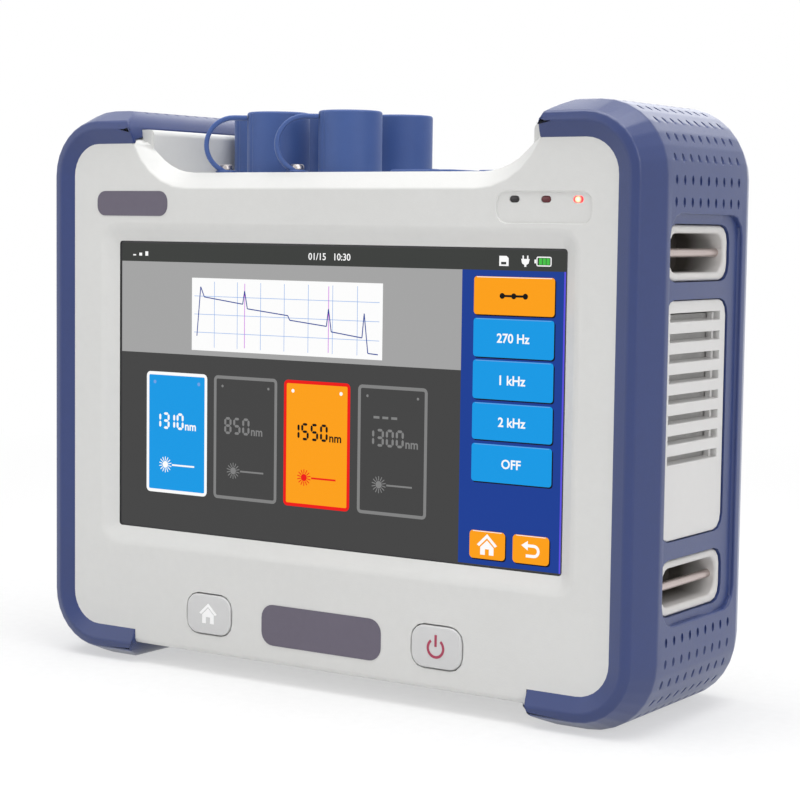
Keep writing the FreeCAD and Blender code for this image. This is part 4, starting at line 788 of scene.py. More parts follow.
# colours of the fill, rim, number and laser mark; left edge; and the number
TILES = [("sky", "white", "white", "white", 10.0, "1310"),
         (None, "faint", "faint", "faint", 36.0, "850"),
         ("orange", "red", "black", "red", 61.9, "1550"),
         (None, "faint", "faint", "faint", 88.0, "1300")]
RAYS = 14
SPOT, RAY_START, RAY_END, BEAM = 1.05, 1.2, 2.4, (2.6, 11.2)
RAY_WIDTH, BEAM_WIDTH, DASH_WIDTH = 0.26, 0.5, 0.7


def burst(colour_name, level, u, v):
    """Laser mark: a round spot with rays and a beam to the right."""
    flat(colour_name, level, disc(u, v, SPOT))
    for i in range(RAYS):
        turn = 2 * math.pi * (i + 0.5) / RAYS
        flat(colour_name, level,
             stroke(u + RAY_START * math.cos(turn), v + RAY_START * math.sin(turn),
                    u + RAY_END * math.cos(turn), v + RAY_END * math.sin(turn), RAY_WIDTH))
    flat(colour_name, level, stroke(u + BEAM[0], v, u + BEAM[1], v, BEAM_WIDTH))


for fill, rim, ink, mark, u, figures in TILES:
    if fill:
        block(fill, 1, u + RIM_TO_FILL, u + TILE_WIDTH - RIM_TO_FILL,
              TILE_V[0] + RIM_TO_FILL, TILE_V[1] - RIM_TO_FILL, 0.9)
    ring(rim, 2, u, u + TILE_WIDTH, *TILE_V, TILE_CORNER, TILE_RIM)
    dot_colour = "line" if fill == "sky" else "white" if fill else "faint"
    for dot_u in (u + 3.2, u + TILE_WIDTH - 3.2):
        flat(dot_colour, 2, disc(dot_u, TILE_V[0] + 3.1, 0.55 if fill else 0.4, 12))
    bm, place, low, high = layer(ink, 3)
    indent = 4.2 if len(figures) == 4 else 4.0
    end = digits(bm, figures, u + indent, NUMBER_V, place, low, high)
    letters(bm, "nm", 1.75, end + 2.0, UNIT_V, place, low, high, bold=0.02)
    burst(mark, 3, u + 7.4, MARK_V)
# three dashes over the last number say that its light is steady
for i in range(3):
    at = 93.4 + i * 3.0
    flat("faint", 3, stroke(at, 47.6, at + 2.0, 47.6, DASH_WIDTH))
print("tiles", len(TILES), "of", TILE_WIDTH, "by", round(TILE_V[1] - TILE_V[0], 1), "mm")

# %% The column of buttons
BUTTON_U = (125.9, 151.0)
# colour, upper and lower edge, and words; the first one has a line with three dots
BUTTONS = [("orange", 7.2, 17.5, None), ("sky", 18.5, 29.0, "270 Hz"),
           ("sky", 29.8, 40.4, "1 kHz"), ("sky", 41.4, 51.5, "2 kHz"), ("sky", 52.6, 63.0, "OFF")]
BUTTON_CORNER = 0.9
SHADOW = 0.35               # how far a button's shadow reaches to the right and down
DOT_PITCH = 3.6


def button(colour_name, u0, u1, v0, v1, radius):
    """Raised button: a shadow below and to the right, a face, and a bright upper edge."""
    block("black", 1, u0 + SHADOW, u1 + SHADOW, v0 + SHADOW, v1 + SHADOW, radius)
    block(colour_name, 2, u0, u1, v0, v1, radius)
    flat("white" if colour_name == "orange" else "line", 3,
         stroke(u0 + radius, v0 + 0.18, u1 - radius, v0 + 0.18, 0.16))


for colour_name, v0, v1, words in BUTTONS:
    button(colour_name, *BUTTON_U, v0, v1, BUTTON_CORNER)
    middle_u, middle_v = sum(BUTTON_U) / 2, (v0 + v1) / 2
    if words:
        bm, place, low, high = layer("white", 3)
        letters(bm, words, 2.6, middle_u, middle_v, place, low, high, bold=0.02)
    else:
        flat("black", 3,
             stroke(middle_u - DOT_PITCH, middle_v, middle_u + DOT_PITCH, middle_v, 0.6))
        for side in (-1, 0, 1):
            flat("black", 4, disc(middle_u + side * DOT_PITCH, middle_v, 0.8))
print("buttons", len(BUTTONS))

# %% Home and return buttons
HOME_U, RETURN_U, FOOT_V = (125.7, 137.0), (139.4, 150.7), (76.5, 84.2)
HOUSE_SIZE, ARROW_SIZE = 3.2, 2.9
# outlines at size 1, about the middle of the symbol
ROOF = [(-1, 0), (0, -0.95), (1, 0), (0.78, 0.14), (0, -0.6), (-0.78, 0.14)]
WALLS = [(-0.66, 0.2), (0, -0.4), (0.66, 0.2), (0.66, 0.85), (0.2, 0.85), (0.2, 0.35),
         (-0.2, 0.35), (-0.2, 0.85), (-0.66, 0.85)]
OUTER_BEND = arc(0.35, 0.1, 0.62, -90, 180, 10)
INNER_BEND = arc(0.35, 0.1, 0.62 - 0.28, -90, 180, 10)
ARROW_BODY = ([(-0.3, OUTER_BEND[0][1])] + OUTER_BEND + [(-0.5, OUTER_BEND[-1][1])]
              + [(-0.5, INNER_BEND[-1][1])] + INNER_BEND[::-1] + [(-0.3, INNER_BEND[0][1])])
TIP_V = (OUTER_BEND[0][1] + INNER_BEND[0][1]) / 2
ARROW_TIP = [(-1, TIP_V), (-0.3, TIP_V - 0.45), (-0.3, TIP_V + 0.45)]

for span_u, outlines, size in ((HOME_U, (ROOF, WALLS), HOUSE_SIZE),
                               (RETURN_U, (ARROW_BODY, ARROW_TIP), ARROW_SIZE)):
    button("orange", *span_u, *FOOT_V, 1.1)
    middle_u, middle_v = sum(span_u) / 2, sum(FOOT_V) / 2
    for outline in outlines:
        flat("white", 4, [(middle_u + u * size, middle_v + v * size) for u, v in outline])
print("home button", HOME_U, "return button", RETURN_U)

# %% The bar along the top
# the day and the time in the middle, and three rising bars at the left
bm, place, low, high = layer("white", 2)
letters(bm, "01/15   10:30", 2.0, 77.5, 2.9, place, low, high, bold=0.01)
for i in range(3):
    at = 5.0 + i * 2.4
    flat("white", 2, stroke(at, 3.4 - i * 0.45, at, 3.8, 1.1))
# at the right a memory card with its label, then a plug with two pins
CARD = [(133.7, 1.6), (136.0, 1.6), (136.6, 2.2), (136.6, 4.3), (133.7, 4.3)]
PLUG = [(140.5, 2.3), (143.1, 2.3), (142.8, 3.5), (142.1, 3.9), (142.1, 4.4), (141.5, 4.4),
        (141.5, 3.9), (140.8, 3.5)]
PLUG_U, PIN_U = 141.8, 0.7      # middle of the plug, and how far a pin is from it
flat("white", 2, CARD)
block("bar", 3, 134.3, 135.9, 3.2, 3.9)
for at in (PLUG_U - PIN_U, PLUG_U + PIN_U):
    flat("white", 2, stroke(at, 1.4, at, 2.4, 0.4))
flat("white", 2, PLUG)
# and a battery: its case, its knob and three cells
ring("white", 2, 145.2, 149.8, 1.6, 4.2, 0.5, 0.3)
block("white", 2, 144.6, 145.1, 2.4, 3.4)
for i in range(3):
    at = 146.0 + i * 1.15
    block("green", 3, at, at + 0.95, 2.05, 3.75)
print("bar height", BAR_V)

# %% The drawing: a measured trace on a grid
SHEET_U, SHEET_V = (27.4, 96.0), (10.0, 31.5)
COLUMNS, ROWS = 8, 4
GRID_MARGIN = 1.0
GRID_WIDTH, TRACE_WIDTH, MARKER_WIDTH = 0.14, 0.3, 0.2


def on_sheet(share_u, share_v):
    return (SHEET_U[0] + (SHEET_U[1] - SHEET_U[0]) * share_u,
            SHEET_V[0] + (SHEET_V[1] - SHEET_V[0]) * share_v)


block("white", 1, *SHEET_U, *SHEET_V)
for i in range(1, COLUMNS):
    at = on_sheet(i / COLUMNS, 0)[0]
    flat("line", 2, stroke(at, SHEET_V[0] + GRID_MARGIN, at, SHEET_V[1] - GRID_MARGIN, GRID_WIDTH))
for i in range(1, ROWS):
    at = on_sheet(0, i / ROWS)[1]
    flat("line", 3, stroke(SHEET_U[0] + GRID_MARGIN, at, SHEET_U[1] - GRID_MARGIN, at,
                           GRID_WIDTH))
# the echo falls along the fibre, drops at each splice and jumps at each connector
TRACE = [(0.03, 0.80), (0.05, 0.12), (0.07, 0.26), (0.28, 0.34), (0.29, 0.16), (0.305, 0.40),
         (0.52, 0.47), (0.53, 0.53), (0.72, 0.59), (0.73, 0.36), (0.745, 0.66), (0.90, 0.72),
         (0.91, 0.40), (0.93, 0.92), (0.98, 0.93)]
for start_point, end_point in zip(TRACE, TRACE[1:]):
    flat("column", 4, stroke(*on_sheet(*start_point), *on_sheet(*end_point), TRACE_WIDTH))
for share in (0.29, 0.73):
    flat("mauve", 3, stroke(*on_sheet(share, 0.06), *on_sheet(share, 0.94), MARKER_WIDTH))
print("points of the trace", len(TRACE))

# %% Turn the layers into pieces
UNLIT_RIM = 0.55            # black edge round the lit area
bm = bmesh.new()
frame_plate(bm, square(-UNLIT_RIM, LIT_WIDTH + UNLIT_RIM, -UNLIT_RIM, LIT_HEIGHT + UNLIT_RIM),
            square(0, LIT_WIDTH, 0, LIT_HEIGHT), on_screen, SMALL_GAP, SMALL_GAP + LAYER)
make_piece("screen_surround", bm, finishes["black_plastic"])
for name, bm in screen_layers.items():
    print("screen_" + name, "faces", len(bm.faces))
    make_piece("screen_" + name, bm, screen_finishes[name])

# %% [markdown]
# ## Softer edges than the CAD model has
#
# In CAD two faces meet in a knife edge. A moulded part never has one: the mould is cut with a
# round tool and the rubber shrinks back. Those small rounds catch the light as thin bright
# lines, so they matter more to the eye than their size says. The helper below copies the
# mesh of a CAD part, welds its faces together, merges the flat regions and bevels only the
# edges that a test picks. The copy then stands for the CAD part.

# %% Copy a CAD part and round its edges
SEAM_WELD = 0.002           # points of neighbouring CAD faces that are closer are one point
FLAT_WITHIN = math.radians(1)       # faces that turn by less are merged


def copied(name):
    """A welded bmesh in millimetres with the mesh of a CAD node."""
    bm = bmesh.new()
    bm.from_mesh(nodes[name].data)
    bm.transform(Matrix.Scale(1 / MM, 4))
    bmesh.ops.remove_doubles(bm, verts=bm.verts, dist=SEAM_WELD)
    bmesh.ops.dissolve_limit(bm, angle_limit=FLAT_WITHIN, verts=bm.verts, edges=bm.edges)
    return bm


def soften(bm, width, segments=2, over=15.0, where=None):
    """Bevel the edges that turn by more than an angle and that a test accepts."""
    edges = [e for e in bm.edges if len(e.link_faces) == 2
             and math.degrees(e.calc_face_angle()) > over
             and (where is None or all(where(v.co) for v in e.verts))]
    if edges:
        bmesh.ops.bevel(bm, geom=edges, offset=width, offset_type="OFFSET", segments=segments,
                        profile=0.5, affect="EDGES", clamp_overlap=False)
    return len(edges)


def at_level(axis, level, margin=0.02):
    """A test for points at one place along an axis."""
    return lambda point: abs(point[axis] - level) < margin


def inside(low, high, margin=0.05):
    """A test for points in a box."""
    return lambda point: all(low[i] - margin <= point[i] <= high[i] + margin for i in range(3))


def stand_in(bm, node, finish=None, body="housing"):
    """Make a piece from a bmesh and let it stand for a CAD node."""
    piece = make_piece(node + "_moulded", bm, finish or finishes[slot_of[node]], body)
    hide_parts(node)
    # large faces decide the shading, so flats stay flat and only the rounds curve
    shading = piece.modifiers.new("flats_first", "WEIGHTED_NORMAL")
    shading.keep_sharp = True
    return piece


def open_edges(bm):
    """How many edges don't join two faces; a closed mesh has none."""
    return sum(1 for e in bm.edges if len(e.link_faces) != 2)


def carved(bm, cutter):
    """The solid bm less the cutter, both in millimetres."""
    solids = []
    for part in (bm, cutter):
        mesh = bpy.data.meshes.new("carving")
        part.to_mesh(mesh)
        part.free()
        solids.append(bpy.data.objects.new("carving", mesh))
        bpy.context.collection.objects.link(solids[-1])
    cut = solids[0].modifiers.new("cut", "BOOLEAN")
    cut.operation = "DIFFERENCE"
    cut.solver = "MANIFOLD"
    cut.object = solids[1]
    seen = solids[0].evaluated_get(bpy.context.evaluated_depsgraph_get())
    result = bmesh.new()
    result.from_mesh(seen.to_mesh())
    for solid in solids:
        mesh = solid.data
        bpy.data.objects.remove(solid)
        bpy.data.meshes.remove(mesh)
    return result


print("tools: copied, soften, carved, stand_in")

# %% [markdown]
# ## Rubber bumpers
#
# Each bumper is one rubber moulding stretched over the side of the housing. Its outer
# corners are soft, and both ends of its side carry rows of small dimples for grip that run
# round the corners. Painting the dimples would leave the outline smooth, so each one is a
# small ellipsoid that a boolean takes out of the rubber. The rows follow the path of the
# outer skin: straight up the side, a quarter turn, and straight along the arm.

# %% Round the bumper's edges
side_low, side_high = node_box("right_bumper")
SIDE_X = side_high.x                  # flat side of the rubber
BUMPER_BOTTOM, BUMPER_TOP = side_low.z, side_high.z
SKIN_RADIUS = 20.0                    # quarter turn of the outer skin
CREST_Y = side_high.y                 # crest of the lip
ARM_X = side_low.x                    # end of the longer arm
PROFILE_Y = (CREST_Y, CREST_Y - 0.7, CREST_Y - 9.4)     # corner lines of the section
PANEL_HALF_Y, PANEL_Z = 23.0, (28.0, 140.0)     # the shallow panel around the windows
END_LENGTH, BETWEEN_ARMS_Z = 9.5, (12.0, 156.0)
# for each arm: its end, its outer level, which way is out, and the size of its round
ARM_ENDS = ((ARM_X + 1.0, BUMPER_TOP, 1, 8.5), (ARM_X, BUMPER_BOTTOM, -1, 7.5))
END_STEPS = 8
OVERLAP, WASTE_OVER, WASTE_BESIDE = 0.2, 4.0, 12.0      # how far the cutter sticks out


def on_profile(point):
    """The three long corner lines of the section, away from the windows' panel."""
    return any(abs(abs(point.y) - line) < 0.02 for line in PROFILE_Y)


def at_panel(point):
    """Rim of the shallow panel around the windows."""
    return (SIDE_X - 0.1 < point.x and abs(point.y) < PANEL_HALF_Y
            and PANEL_Z[0] < point.z < PANEL_Z[1])


def at_arm_end(point):
    """Edges of the two cut ends of the arms."""
    between = BETWEEN_ARMS_Z[0] < point.z < BETWEEN_ARMS_Z[1]
    return point.x < ARM_X + END_LENGTH and not between


def end_cutter():
    """Two prisms that round the arms' ends as seen from the front."""
    cutter = bmesh.new()
    for x, z, sign, size in ARM_ENDS:
        hub_x, hub_z = x + size, z - sign * size
        turns = [math.pi / 2 * i / END_STEPS for i in range(1, END_STEPS)]
        quarter = [(hub_x - size * math.cos(t), hub_z + sign * size * math.sin(t)) for t in turns]
        side_z, over_z, past_x = hub_z - sign * OVERLAP, z + sign * WASTE_OVER, x - WASTE_BESIDE
        outline = [(x, side_z)] + quarter + [(hub_x + OVERLAP, z), (hub_x + OVERLAP, over_z),
                                             (past_x, over_z), (past_x, side_z)]
        plate(cutter, outline, facing_back(0, 0, 0), -50, 50)
    bmesh.ops.recalc_face_normals(cutter, faces=cutter.faces)
    return cutter


rubber = copied("right_bumper")
print("profile edges", soften(rubber, 0.55, 2, 10.0, on_profile))
print("panel edges", soften(rubber, 0.5, 2, 40.0, at_panel))
rubber = carved(rubber, end_cutter())
print("end edges", soften(rubber, 0.6, 2, 35.0, at_arm_end))
# where three bevels meet, a corner can be pushed out; the crest of the lip is the limit
for vertex in rubber.verts:
    vertex.co.y = max(-CREST_Y, min(CREST_Y, vertex.co.y))
print("open edges", open_edges(rubber), "faces", len(rubber.faces))

# %% Take out the dimples
ROW_PITCH = 5.8
COLUMN_PITCH = 4.8
DIMPLE = (0.9, 0.75, 1.35)            # half depth, half width, half length
DIMPLE_COLUMNS = 9
FIRST_COLUMN_Y = -19.5
DIMPLE_ROWS = ((141.1, 1, 9), (25.0, -1, 6))    # first row's height, way of travel, rows


def skin_point(travel, start_z, sign):
    """Where a row lies on the outer skin and which way the skin faces, as an angle."""
    hub_x = SIDE_X - SKIN_RADIUS
    hub_z = BUMPER_TOP - SKIN_RADIUS if sign > 0 else BUMPER_BOTTOM + SKIN_RADIUS
    straight = abs(hub_z - start_z)
    quarter = SKIN_RADIUS * math.pi / 2
    if travel < straight:
        return SIDE_X, start_z + sign * travel, 0.0
    if travel < straight + quarter:
        turn = (travel - straight) / SKIN_RADIUS
        return (hub_x + SKIN_RADIUS * math.cos(turn), hub_z + sign * SKIN_RADIUS * math.sin(turn),
                sign * turn)
    return hub_x - (travel - straight - quarter), hub_z + sign * SKIN_RADIUS, sign * math.pi / 2


def divide(bm, axis, places):
    """Cut faces across an axis; one with many holes is hard to fill, so the holes are shared."""
    across = Vector([i == axis for i in range(3)])
    for place in places:
        bmesh.ops.bisect_plane(bm, geom=bm.verts[:] + bm.edges[:] + bm.faces[:],
                               plane_co=across * place, plane_no=across)


def dimples():
    """All the ellipsoids of one bumper, each turned to the skin."""
    cutter = bmesh.new()
    for start_z, sign, rows in DIMPLE_ROWS:
        for row in range(rows):
            x, z, turn = skin_point(row * ROW_PITCH, start_z, sign)
            for column in range(DIMPLE_COLUMNS):
                place = Matrix.Translation((x, FIRST_COLUMN_Y + column * COLUMN_PITCH, z))
                size = Matrix.Diagonal((*DIMPLE, 1.0))
                bmesh.ops.create_uvsphere(cutter, u_segments=10, v_segments=6, radius=1.0,
                                          matrix=place @ Matrix.Rotation(-turn, 4, "Y") @ size)
    return cutter


divide(rubber, 1, [FIRST_COLUMN_Y + (column - 0.5) * COLUMN_PITCH
                   for column in range(DIMPLE_COLUMNS + 1)])
rubber = carved(rubber, dimples())
print("open edges", open_edges(rubber), "faces", len(rubber.faces))
other = rubber.copy()
other.transform(Matrix.Scale(-1, 4, (1, 0, 0)))
stand_in(rubber, "right_bumper")
stand_in(other, "left_bumper")

# %% [markdown]
# ## Caps on the connectors
#
# Five soft caps keep dust out of the fibre connectors. A cap is a turned shape: an outline of
# radius and height carried round an axis, with a small round at the top edge and a bore
# underneath. A fine seam runs down its side where the two halves of the mould met, so the
# radius dips there. Each cap rides on its own body and lifts off.

# %% Turned shapes
def lathe(bm, outline, place, steps=48, radius_at=None):
    """Carry an outline of (radius, height) round an axis; the outline closes on itself."""
    rings = []
    for radius, height in outline:
        ring_points = []
        for i in range(steps):
            turn = 2 * math.pi * i / steps
            reach = radius_at(radius, height, turn) if radius_at else radius
            if radius > 0 or i == 0:
                point = bm.verts.new(place(reach * math.cos(turn), reach * math.sin(turn), height))
            ring_points.append(point)
        rings.append(ring_points)
    skin(bm, rings + rings[:1])


def corner_round(radius, height, size):
    """Quarter round whose outer side is at a radius and whose top is at a height."""
    return arc(radius - size, height - size, size, 0, 90, 3)


print("points of a quarter round", len(corner_round(1, 1, 0.5)))

# %% Five caps
CAP_ROOF = 2.6
CAP_BORE = 7.6
CAP_ROUND, CAP_EDGE, BORE_EDGE = 0.7, 0.3, 0.4
SEAM_HEADING = math.radians(-112)
SEAM_DEPTH = 0.22
CAP_STEPS = 96


def seam(radius, height, turn):
    """Radius with the mould seam: a dip one step wide."""
    away = abs((turn - SEAM_HEADING + math.pi) % (2 * math.pi) - math.pi)
    dips = radius > CAP_BORE + 0.5 and away < math.pi / CAP_STEPS
    return radius - SEAM_DEPTH if dips else radius


ports = {}
for number in range(1, 6):
    low, high = node_box(f"port_cap_{number}")
    ports[number] = ((low.x + high.x) / 2, (low.y + high.y) / 2)
    outer = (high.y - low.y) / 2
    outline = [(CAP_BORE + BORE_EDGE, low.z), (outer - CAP_EDGE, low.z),
               (outer, low.z + CAP_EDGE), *corner_round(outer, high.z, CAP_ROUND),
               (0, high.z), (0, high.z - CAP_ROOF), (CAP_BORE, high.z - CAP_ROOF),
               (CAP_BORE, low.z + BORE_EDGE)]
    bm = bmesh.new()
    lathe(bm, outline, lying(*ports[number]), CAP_STEPS, seam)
    stand_in(bm, f"port_cap_{number}", body=f"cap_{number}")
print("cap radius", round(outer, 2), "height", round(high.z - low.z, 2))

# %% [markdown]
# ## Straps that keep the caps
#
# A ribbon of the same rubber leaves each cap's side, bends over in a half turn and ends in an
# eye under a screw, so the cap can't be lost. The ribbon is a rounded section carried along
# a line that is drawn in one upright plane and then turned to its heading.

# %% Straps
STRAP_HEADINGS = {1: -140.3, 2: -140.3, 3: 39.7, 4: -140.3, 5: -140.3}
STRAP_REACH = 22.0
STRAP_THICKNESS, STRAP_WIDTH = 1.4, 4.4
STRAP_DROP = 1.7            # cap's top to the ribbon's middle
EYE_X = 15.4                # screw's distance from the port's axis
EYE_RADIUS, EYE_HOLE = 3.2, 1.3
EYE_ROUND, HOLE_EDGE = 0.4, (0.2, 0.25)     # outer round; chamfer's width and height
BEND_STEPS = 20


def ribbon(bm, line, width, thickness, place):
    """Rounded ribbon along points (u, height, slope) in an upright plane."""
    half_w, half_t = width / 2, thickness / 2
    section = rounded(-half_w, half_w, -half_t, half_t, thickness * 0.4, 3)
    rings = []
    for u, height, slope in line:
        rise_u, rise_z = -math.sin(slope), math.cos(slope)
        rings.append([bm.verts.new(place(u + b * rise_u, a, height + b * rise_z))
                      for a, b in section])
    closed_skin(bm, rings)


def in_heading(number, along, across, height):
    """Point at a distance from a port's axis along its strap's heading."""
    x, y = ports[number]
    turn = math.radians(STRAP_HEADINGS[number])
    return Vector((x + along * math.cos(turn) - across * math.sin(turn),
                   y + along * math.sin(turn) + across * math.cos(turn), height))


for number in ports:
    cap_low, cap_high = node_box(f"port_cap_{number}")
    eye_low = node_box(f"cap_strap_{number}")[0].z
    top, foot = cap_high.z - STRAP_DROP, eye_low + STRAP_THICKNESS / 2
    bend = (top - foot) / 2
    hub = STRAP_REACH - STRAP_THICKNESS / 2 - bend
    root = (cap_high.y - cap_low.y) / 2 + 0.1

    def place(along, across, height, number=number):
        return in_heading(number, along, across, height)
    line = [(root, top, 0.0), ((root + hub) / 2, top, 0.0)]
    for i in range(BEND_STEPS + 1):
        turn = math.pi / 2 - math.pi * i / BEND_STEPS
        line.append((hub + bend * math.cos(turn), foot + bend + bend * math.sin(turn),
                     turn - math.pi / 2))
    bm = bmesh.new()
    ribbon(bm, line, STRAP_WIDTH, STRAP_THICKNESS, place)
    eye_high, (edge_out, edge_up) = eye_low + STRAP_THICKNESS, HOLE_EDGE
    eye_outline = [(EYE_HOLE, eye_low + edge_up), (EYE_HOLE + edge_out, eye_low),
                   (EYE_RADIUS - EYE_ROUND, eye_low),
                   *corner_round(EYE_RADIUS, eye_high, EYE_ROUND),
                   (EYE_HOLE + edge_out, eye_high), (EYE_HOLE, eye_high - edge_up)]
    lathe(bm, eye_outline, lambda u, v, height: place(EYE_X + u, v, height), 32)
    piece = make_piece(f"cap_strap_{number}_moulded", bm, finishes["cap"], None)
    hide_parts(f"cap_strap_{number}")
    eye_middle = in_heading(number, EYE_X, 0, 0)
    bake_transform(piece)
print("half turn of the strap", round(bend, 2), "mm")

# %% [markdown]
# ## Screws
#
# Every screw here is a pan head with a cross recess. A head is a shallow dome, and the recess
# is a plus sign sunk into it. Where columns of the dome's points meet the plus sign's
# outline, the surface drops. So one closed shape does for all: the caller gives the head's
# radius, its height and where it sits, and a small turn so that no two crosses line up.

# %% Pan heads with a cross recess
RECESS_DEPTH = 0.6          # share of the head's height
ARM_SHARE, ARM_WIDTH_SHARE = 0.55, 0.13     # of the head's radius
# share of the way from the recess to the rim, and share of the head's height there
DOME = ((0.45, 0.98), (0.75, 0.86), (0.92, 0.62), (1.0, 0.3))


def cross_outline(arm, half_width, steps=3):
    """Twelve corners of a plus sign, with extra points on the long sides."""
    a, w = arm, half_width
    corners = [(a, -w), (a, w), (w, w), (w, a), (-w, a), (-w, w), (-a, w), (-a, -w), (-w, -w),
               (-w, -a), (w, -a), (w, -w)]
    points = []
    for start_at, end_at in zip(corners, corners[1:] + corners[:1]):
        for i in range(steps):
            share = i / steps
            points.append((start_at[0] + (end_at[0] - start_at[0]) * share,
                           start_at[1] + (end_at[1] - start_at[1]) * share))
    return points


def pan_head(bm, place, radius, height, turn):
    """Closed head: a rim, a dome that flattens to the middle, and a cross-shaped recess."""
    cross = cross_outline(radius * ARM_SHARE, radius * ARM_WIDTH_SHARE)
    cosine, sine = math.cos(turn), math.sin(turn)

    def column(u, v, share):
        """Point between the cross outline, share 0, and the head's rim, share 1."""
        length = math.hypot(u, v)
        far_u, far_v = u / length * radius, v / length * radius
        new_u, new_v = u + (far_u - u) * share, v + (far_v - v) * share
        return new_u * cosine - new_v * sine, new_u * sine + new_v * cosine

    levels = ((0.0, 1 - RECESS_DEPTH), (0.0, 1.0)) + DOME + ((1.0, 0.0),)
    closed_skin(bm, [[bm.verts.new(place(*column(u, v, share), height * level))
                      for u, v in cross] for share, level in levels])


bm = bmesh.new()
HEAD_RADIUS, HEAD_HEIGHT = 2.1, 1.5
head_foot = node_box("strap_screws")[1].z - HEAD_HEIGHT
for number in ports:
    spot = in_heading(number, EYE_X, 0, head_foot)
    pan_head(bm, lambda u, v, height, at=spot: at + Vector((u, v, height)), HEAD_RADIUS,
             HEAD_HEIGHT, random.uniform(0, math.pi / 2))
stand_in(bm, "strap_screws")
print("screw heads on the plate", len(ports))

# %% [markdown]
# ## Threaded connectors under the caps
#
# Lifting a cap shows the connector: a hexagonal nut and a threaded barrel that a fibre's plug
# screws on to. The thread is real geometry. Its radius depends on the height minus the share
# of a turn, which makes one ridge climb round the barrel instead of a stack of rings.

# %% Connectors
THREAD_PITCH = 0.75
THREAD_DEPTH = 0.38
RINGS_PER_RIDGE = 5
BARREL_RADIUS, BARREL_BORE = 4.0, 2.8
BARREL_GAP = 0.2            # the barrel starts this far above the plate
PLAIN_FOOT, PLAIN_ENDS = 0.7, 1.2       # lengths without thread: below it, and in all
NUT_RADIUS, NUT_HEIGHT = 7.0, 2.0
BODY_RADIUS = 4.5
BODY_EDGE = 0.3


def thread(radius, height, turn):
    """Radius of the barrel with a ridge that climbs one pitch in each turn."""
    if radius < BARREL_RADIUS - 0.01:
        return radius
    phase = (height / THREAD_PITCH - turn / (2 * math.pi)) % 1.0
    return radius - THREAD_DEPTH * abs(2 * phase - 1)


def add_mesh(bm, other):
    """Put another bmesh, which ends here, into the first one."""
    scrap = bpy.data.meshes.new("scrap")
    other.to_mesh(scrap)
    other.free()
    bm.from_mesh(scrap)
    bpy.data.meshes.remove(scrap)


foot = node_box("port_plate")[1].z
hexagon = arc(0, 0, NUT_RADIUS, 0, 300, 5)
for number, (x, y) in ports.items():
    low, high = node_box(f"fibre_adapter_{number}")
    top = high.z
    bm = bmesh.new()
    ridges = (top - foot - PLAIN_ENDS) / THREAD_PITCH
    steps = int(ridges * RINGS_PER_RIDGE)
    outline = [(BARREL_BORE, foot + BARREL_GAP), (BARREL_RADIUS - THREAD_DEPTH, foot + BARREL_GAP)]
    outline += [(BARREL_RADIUS, foot + PLAIN_FOOT + (top - foot - PLAIN_ENDS) * i / steps)
                for i in range(steps + 1)]
    outline += [(BARREL_RADIUS - THREAD_DEPTH - 0.1, top), (BARREL_BORE + 0.2, top),
                (BARREL_BORE, top - 0.2)]
    lathe(bm, outline, lying(x, y), 40, thread)
    nut = bmesh.new()
    plate(nut, hexagon, lying(x, y), foot, foot + NUT_HEIGHT)
    soften(nut, 0.3, 2, 25.0)
    body_outline = [(BODY_RADIUS, low.z + BODY_EDGE), (BODY_RADIUS - BODY_EDGE, low.z),
                    (BARREL_BORE, low.z), (BARREL_BORE, foot - 0.1), (BODY_RADIUS, foot - 0.1)]
    lathe(nut, body_outline, lying(x, y), 32)
    add_mesh(bm, nut)
    stand_in(bm, f"fibre_adapter_{number}")
print("thread ridges", int(ridges))

# %% [markdown]
# ## Windows in the sides
#
# Each side has two pockets that a hand strap is threaded through, with a metal bar across
# the mouth, and an air grille between them. The rims are thick and rounded and catch most
# light of all white parts. Behind the grille's slats lies a grey dust filter, a porous mat.

# %% Pockets, bars, grilles and filters
# painted shade: the pocket's plastic is painted darkest up to the first distance from the middle,
# and plain from the second on
PAINTED_SHADE_X, MOUTH_X = 91.0, 99.0     # how far from the middle the pocket is dark, and bright


def pocket_painted_shade_finish():
    """Bright plastic at the mouth, with painted shade that darkens it towards the bottom; a noise
    of dust breaks the painted shade up and varies the gloss.
    """
    material, start, place = start_material("pocket_plastic_painted_shade")
    x_part = place.node("ShaderNodeSeparateXYZ", {}, {0: place}, output="X")
    depth = spread(abs(x_part), PAINTED_SHADE_X * MM, MOUTH_X * MM)
    dust = noise(place, 120.0, 4.0)
    share = depth * 0.9 + dust * 0.2 - 0.1
    # painted shade: the colour runs from a dark brown-grey deep in the pocket to the plain white
    # plastic at its mouth
    base = mix_colour(share, colour(96, 91, 86), colour(218, 216, 214))
    grain = noise(place, 1 / (0.45 * MM), 3.0, 0.6)
    finish_material(start, {"Base Color": base, "Roughness": dust * 0.2 + 0.35,
                            "Normal": bump(grain, 0.03 * MM)})
    return material


filter_finish = grained("filter_foam", colour(186, 185, 184), 0.9, 0.7, 0.25, drift=0.12)
rim_plastic = grained("rim_plastic", colour(216, 215, 214), 0.38, 0.45, 0.03, drift=0.015)
pocket_plastic_painted_shade = pocket_painted_shade_finish()
GRILLE_CORNER, CORNER_REACH = 4.5, 3.0      # a point further than the reach is on the border
FILTER_X = (98.15, 98.95)                   # faces of the mat
FILTER_INSET, FILTER_TOP_INSET = 3.6, 3.9   # from the grille's edges to the mat's


def border_test(low, high, face_x):
    """A test for the outer border of a grille, with its round corners."""
    on_face = at_level(0, face_x, 0.01)

    def test(point):
        edge = min(point.y - low.y, high.y - point.y, point.z - low.z, high.z - point.z)
        corner = math.hypot(*(max(low[i] + GRILLE_CORNER - point[i],
                                  point[i] - high[i] + GRILLE_CORNER, 0) for i in (1, 2)))
        return on_face(point) and (edge < 0.05 or corner > CORNER_REACH)
    return test


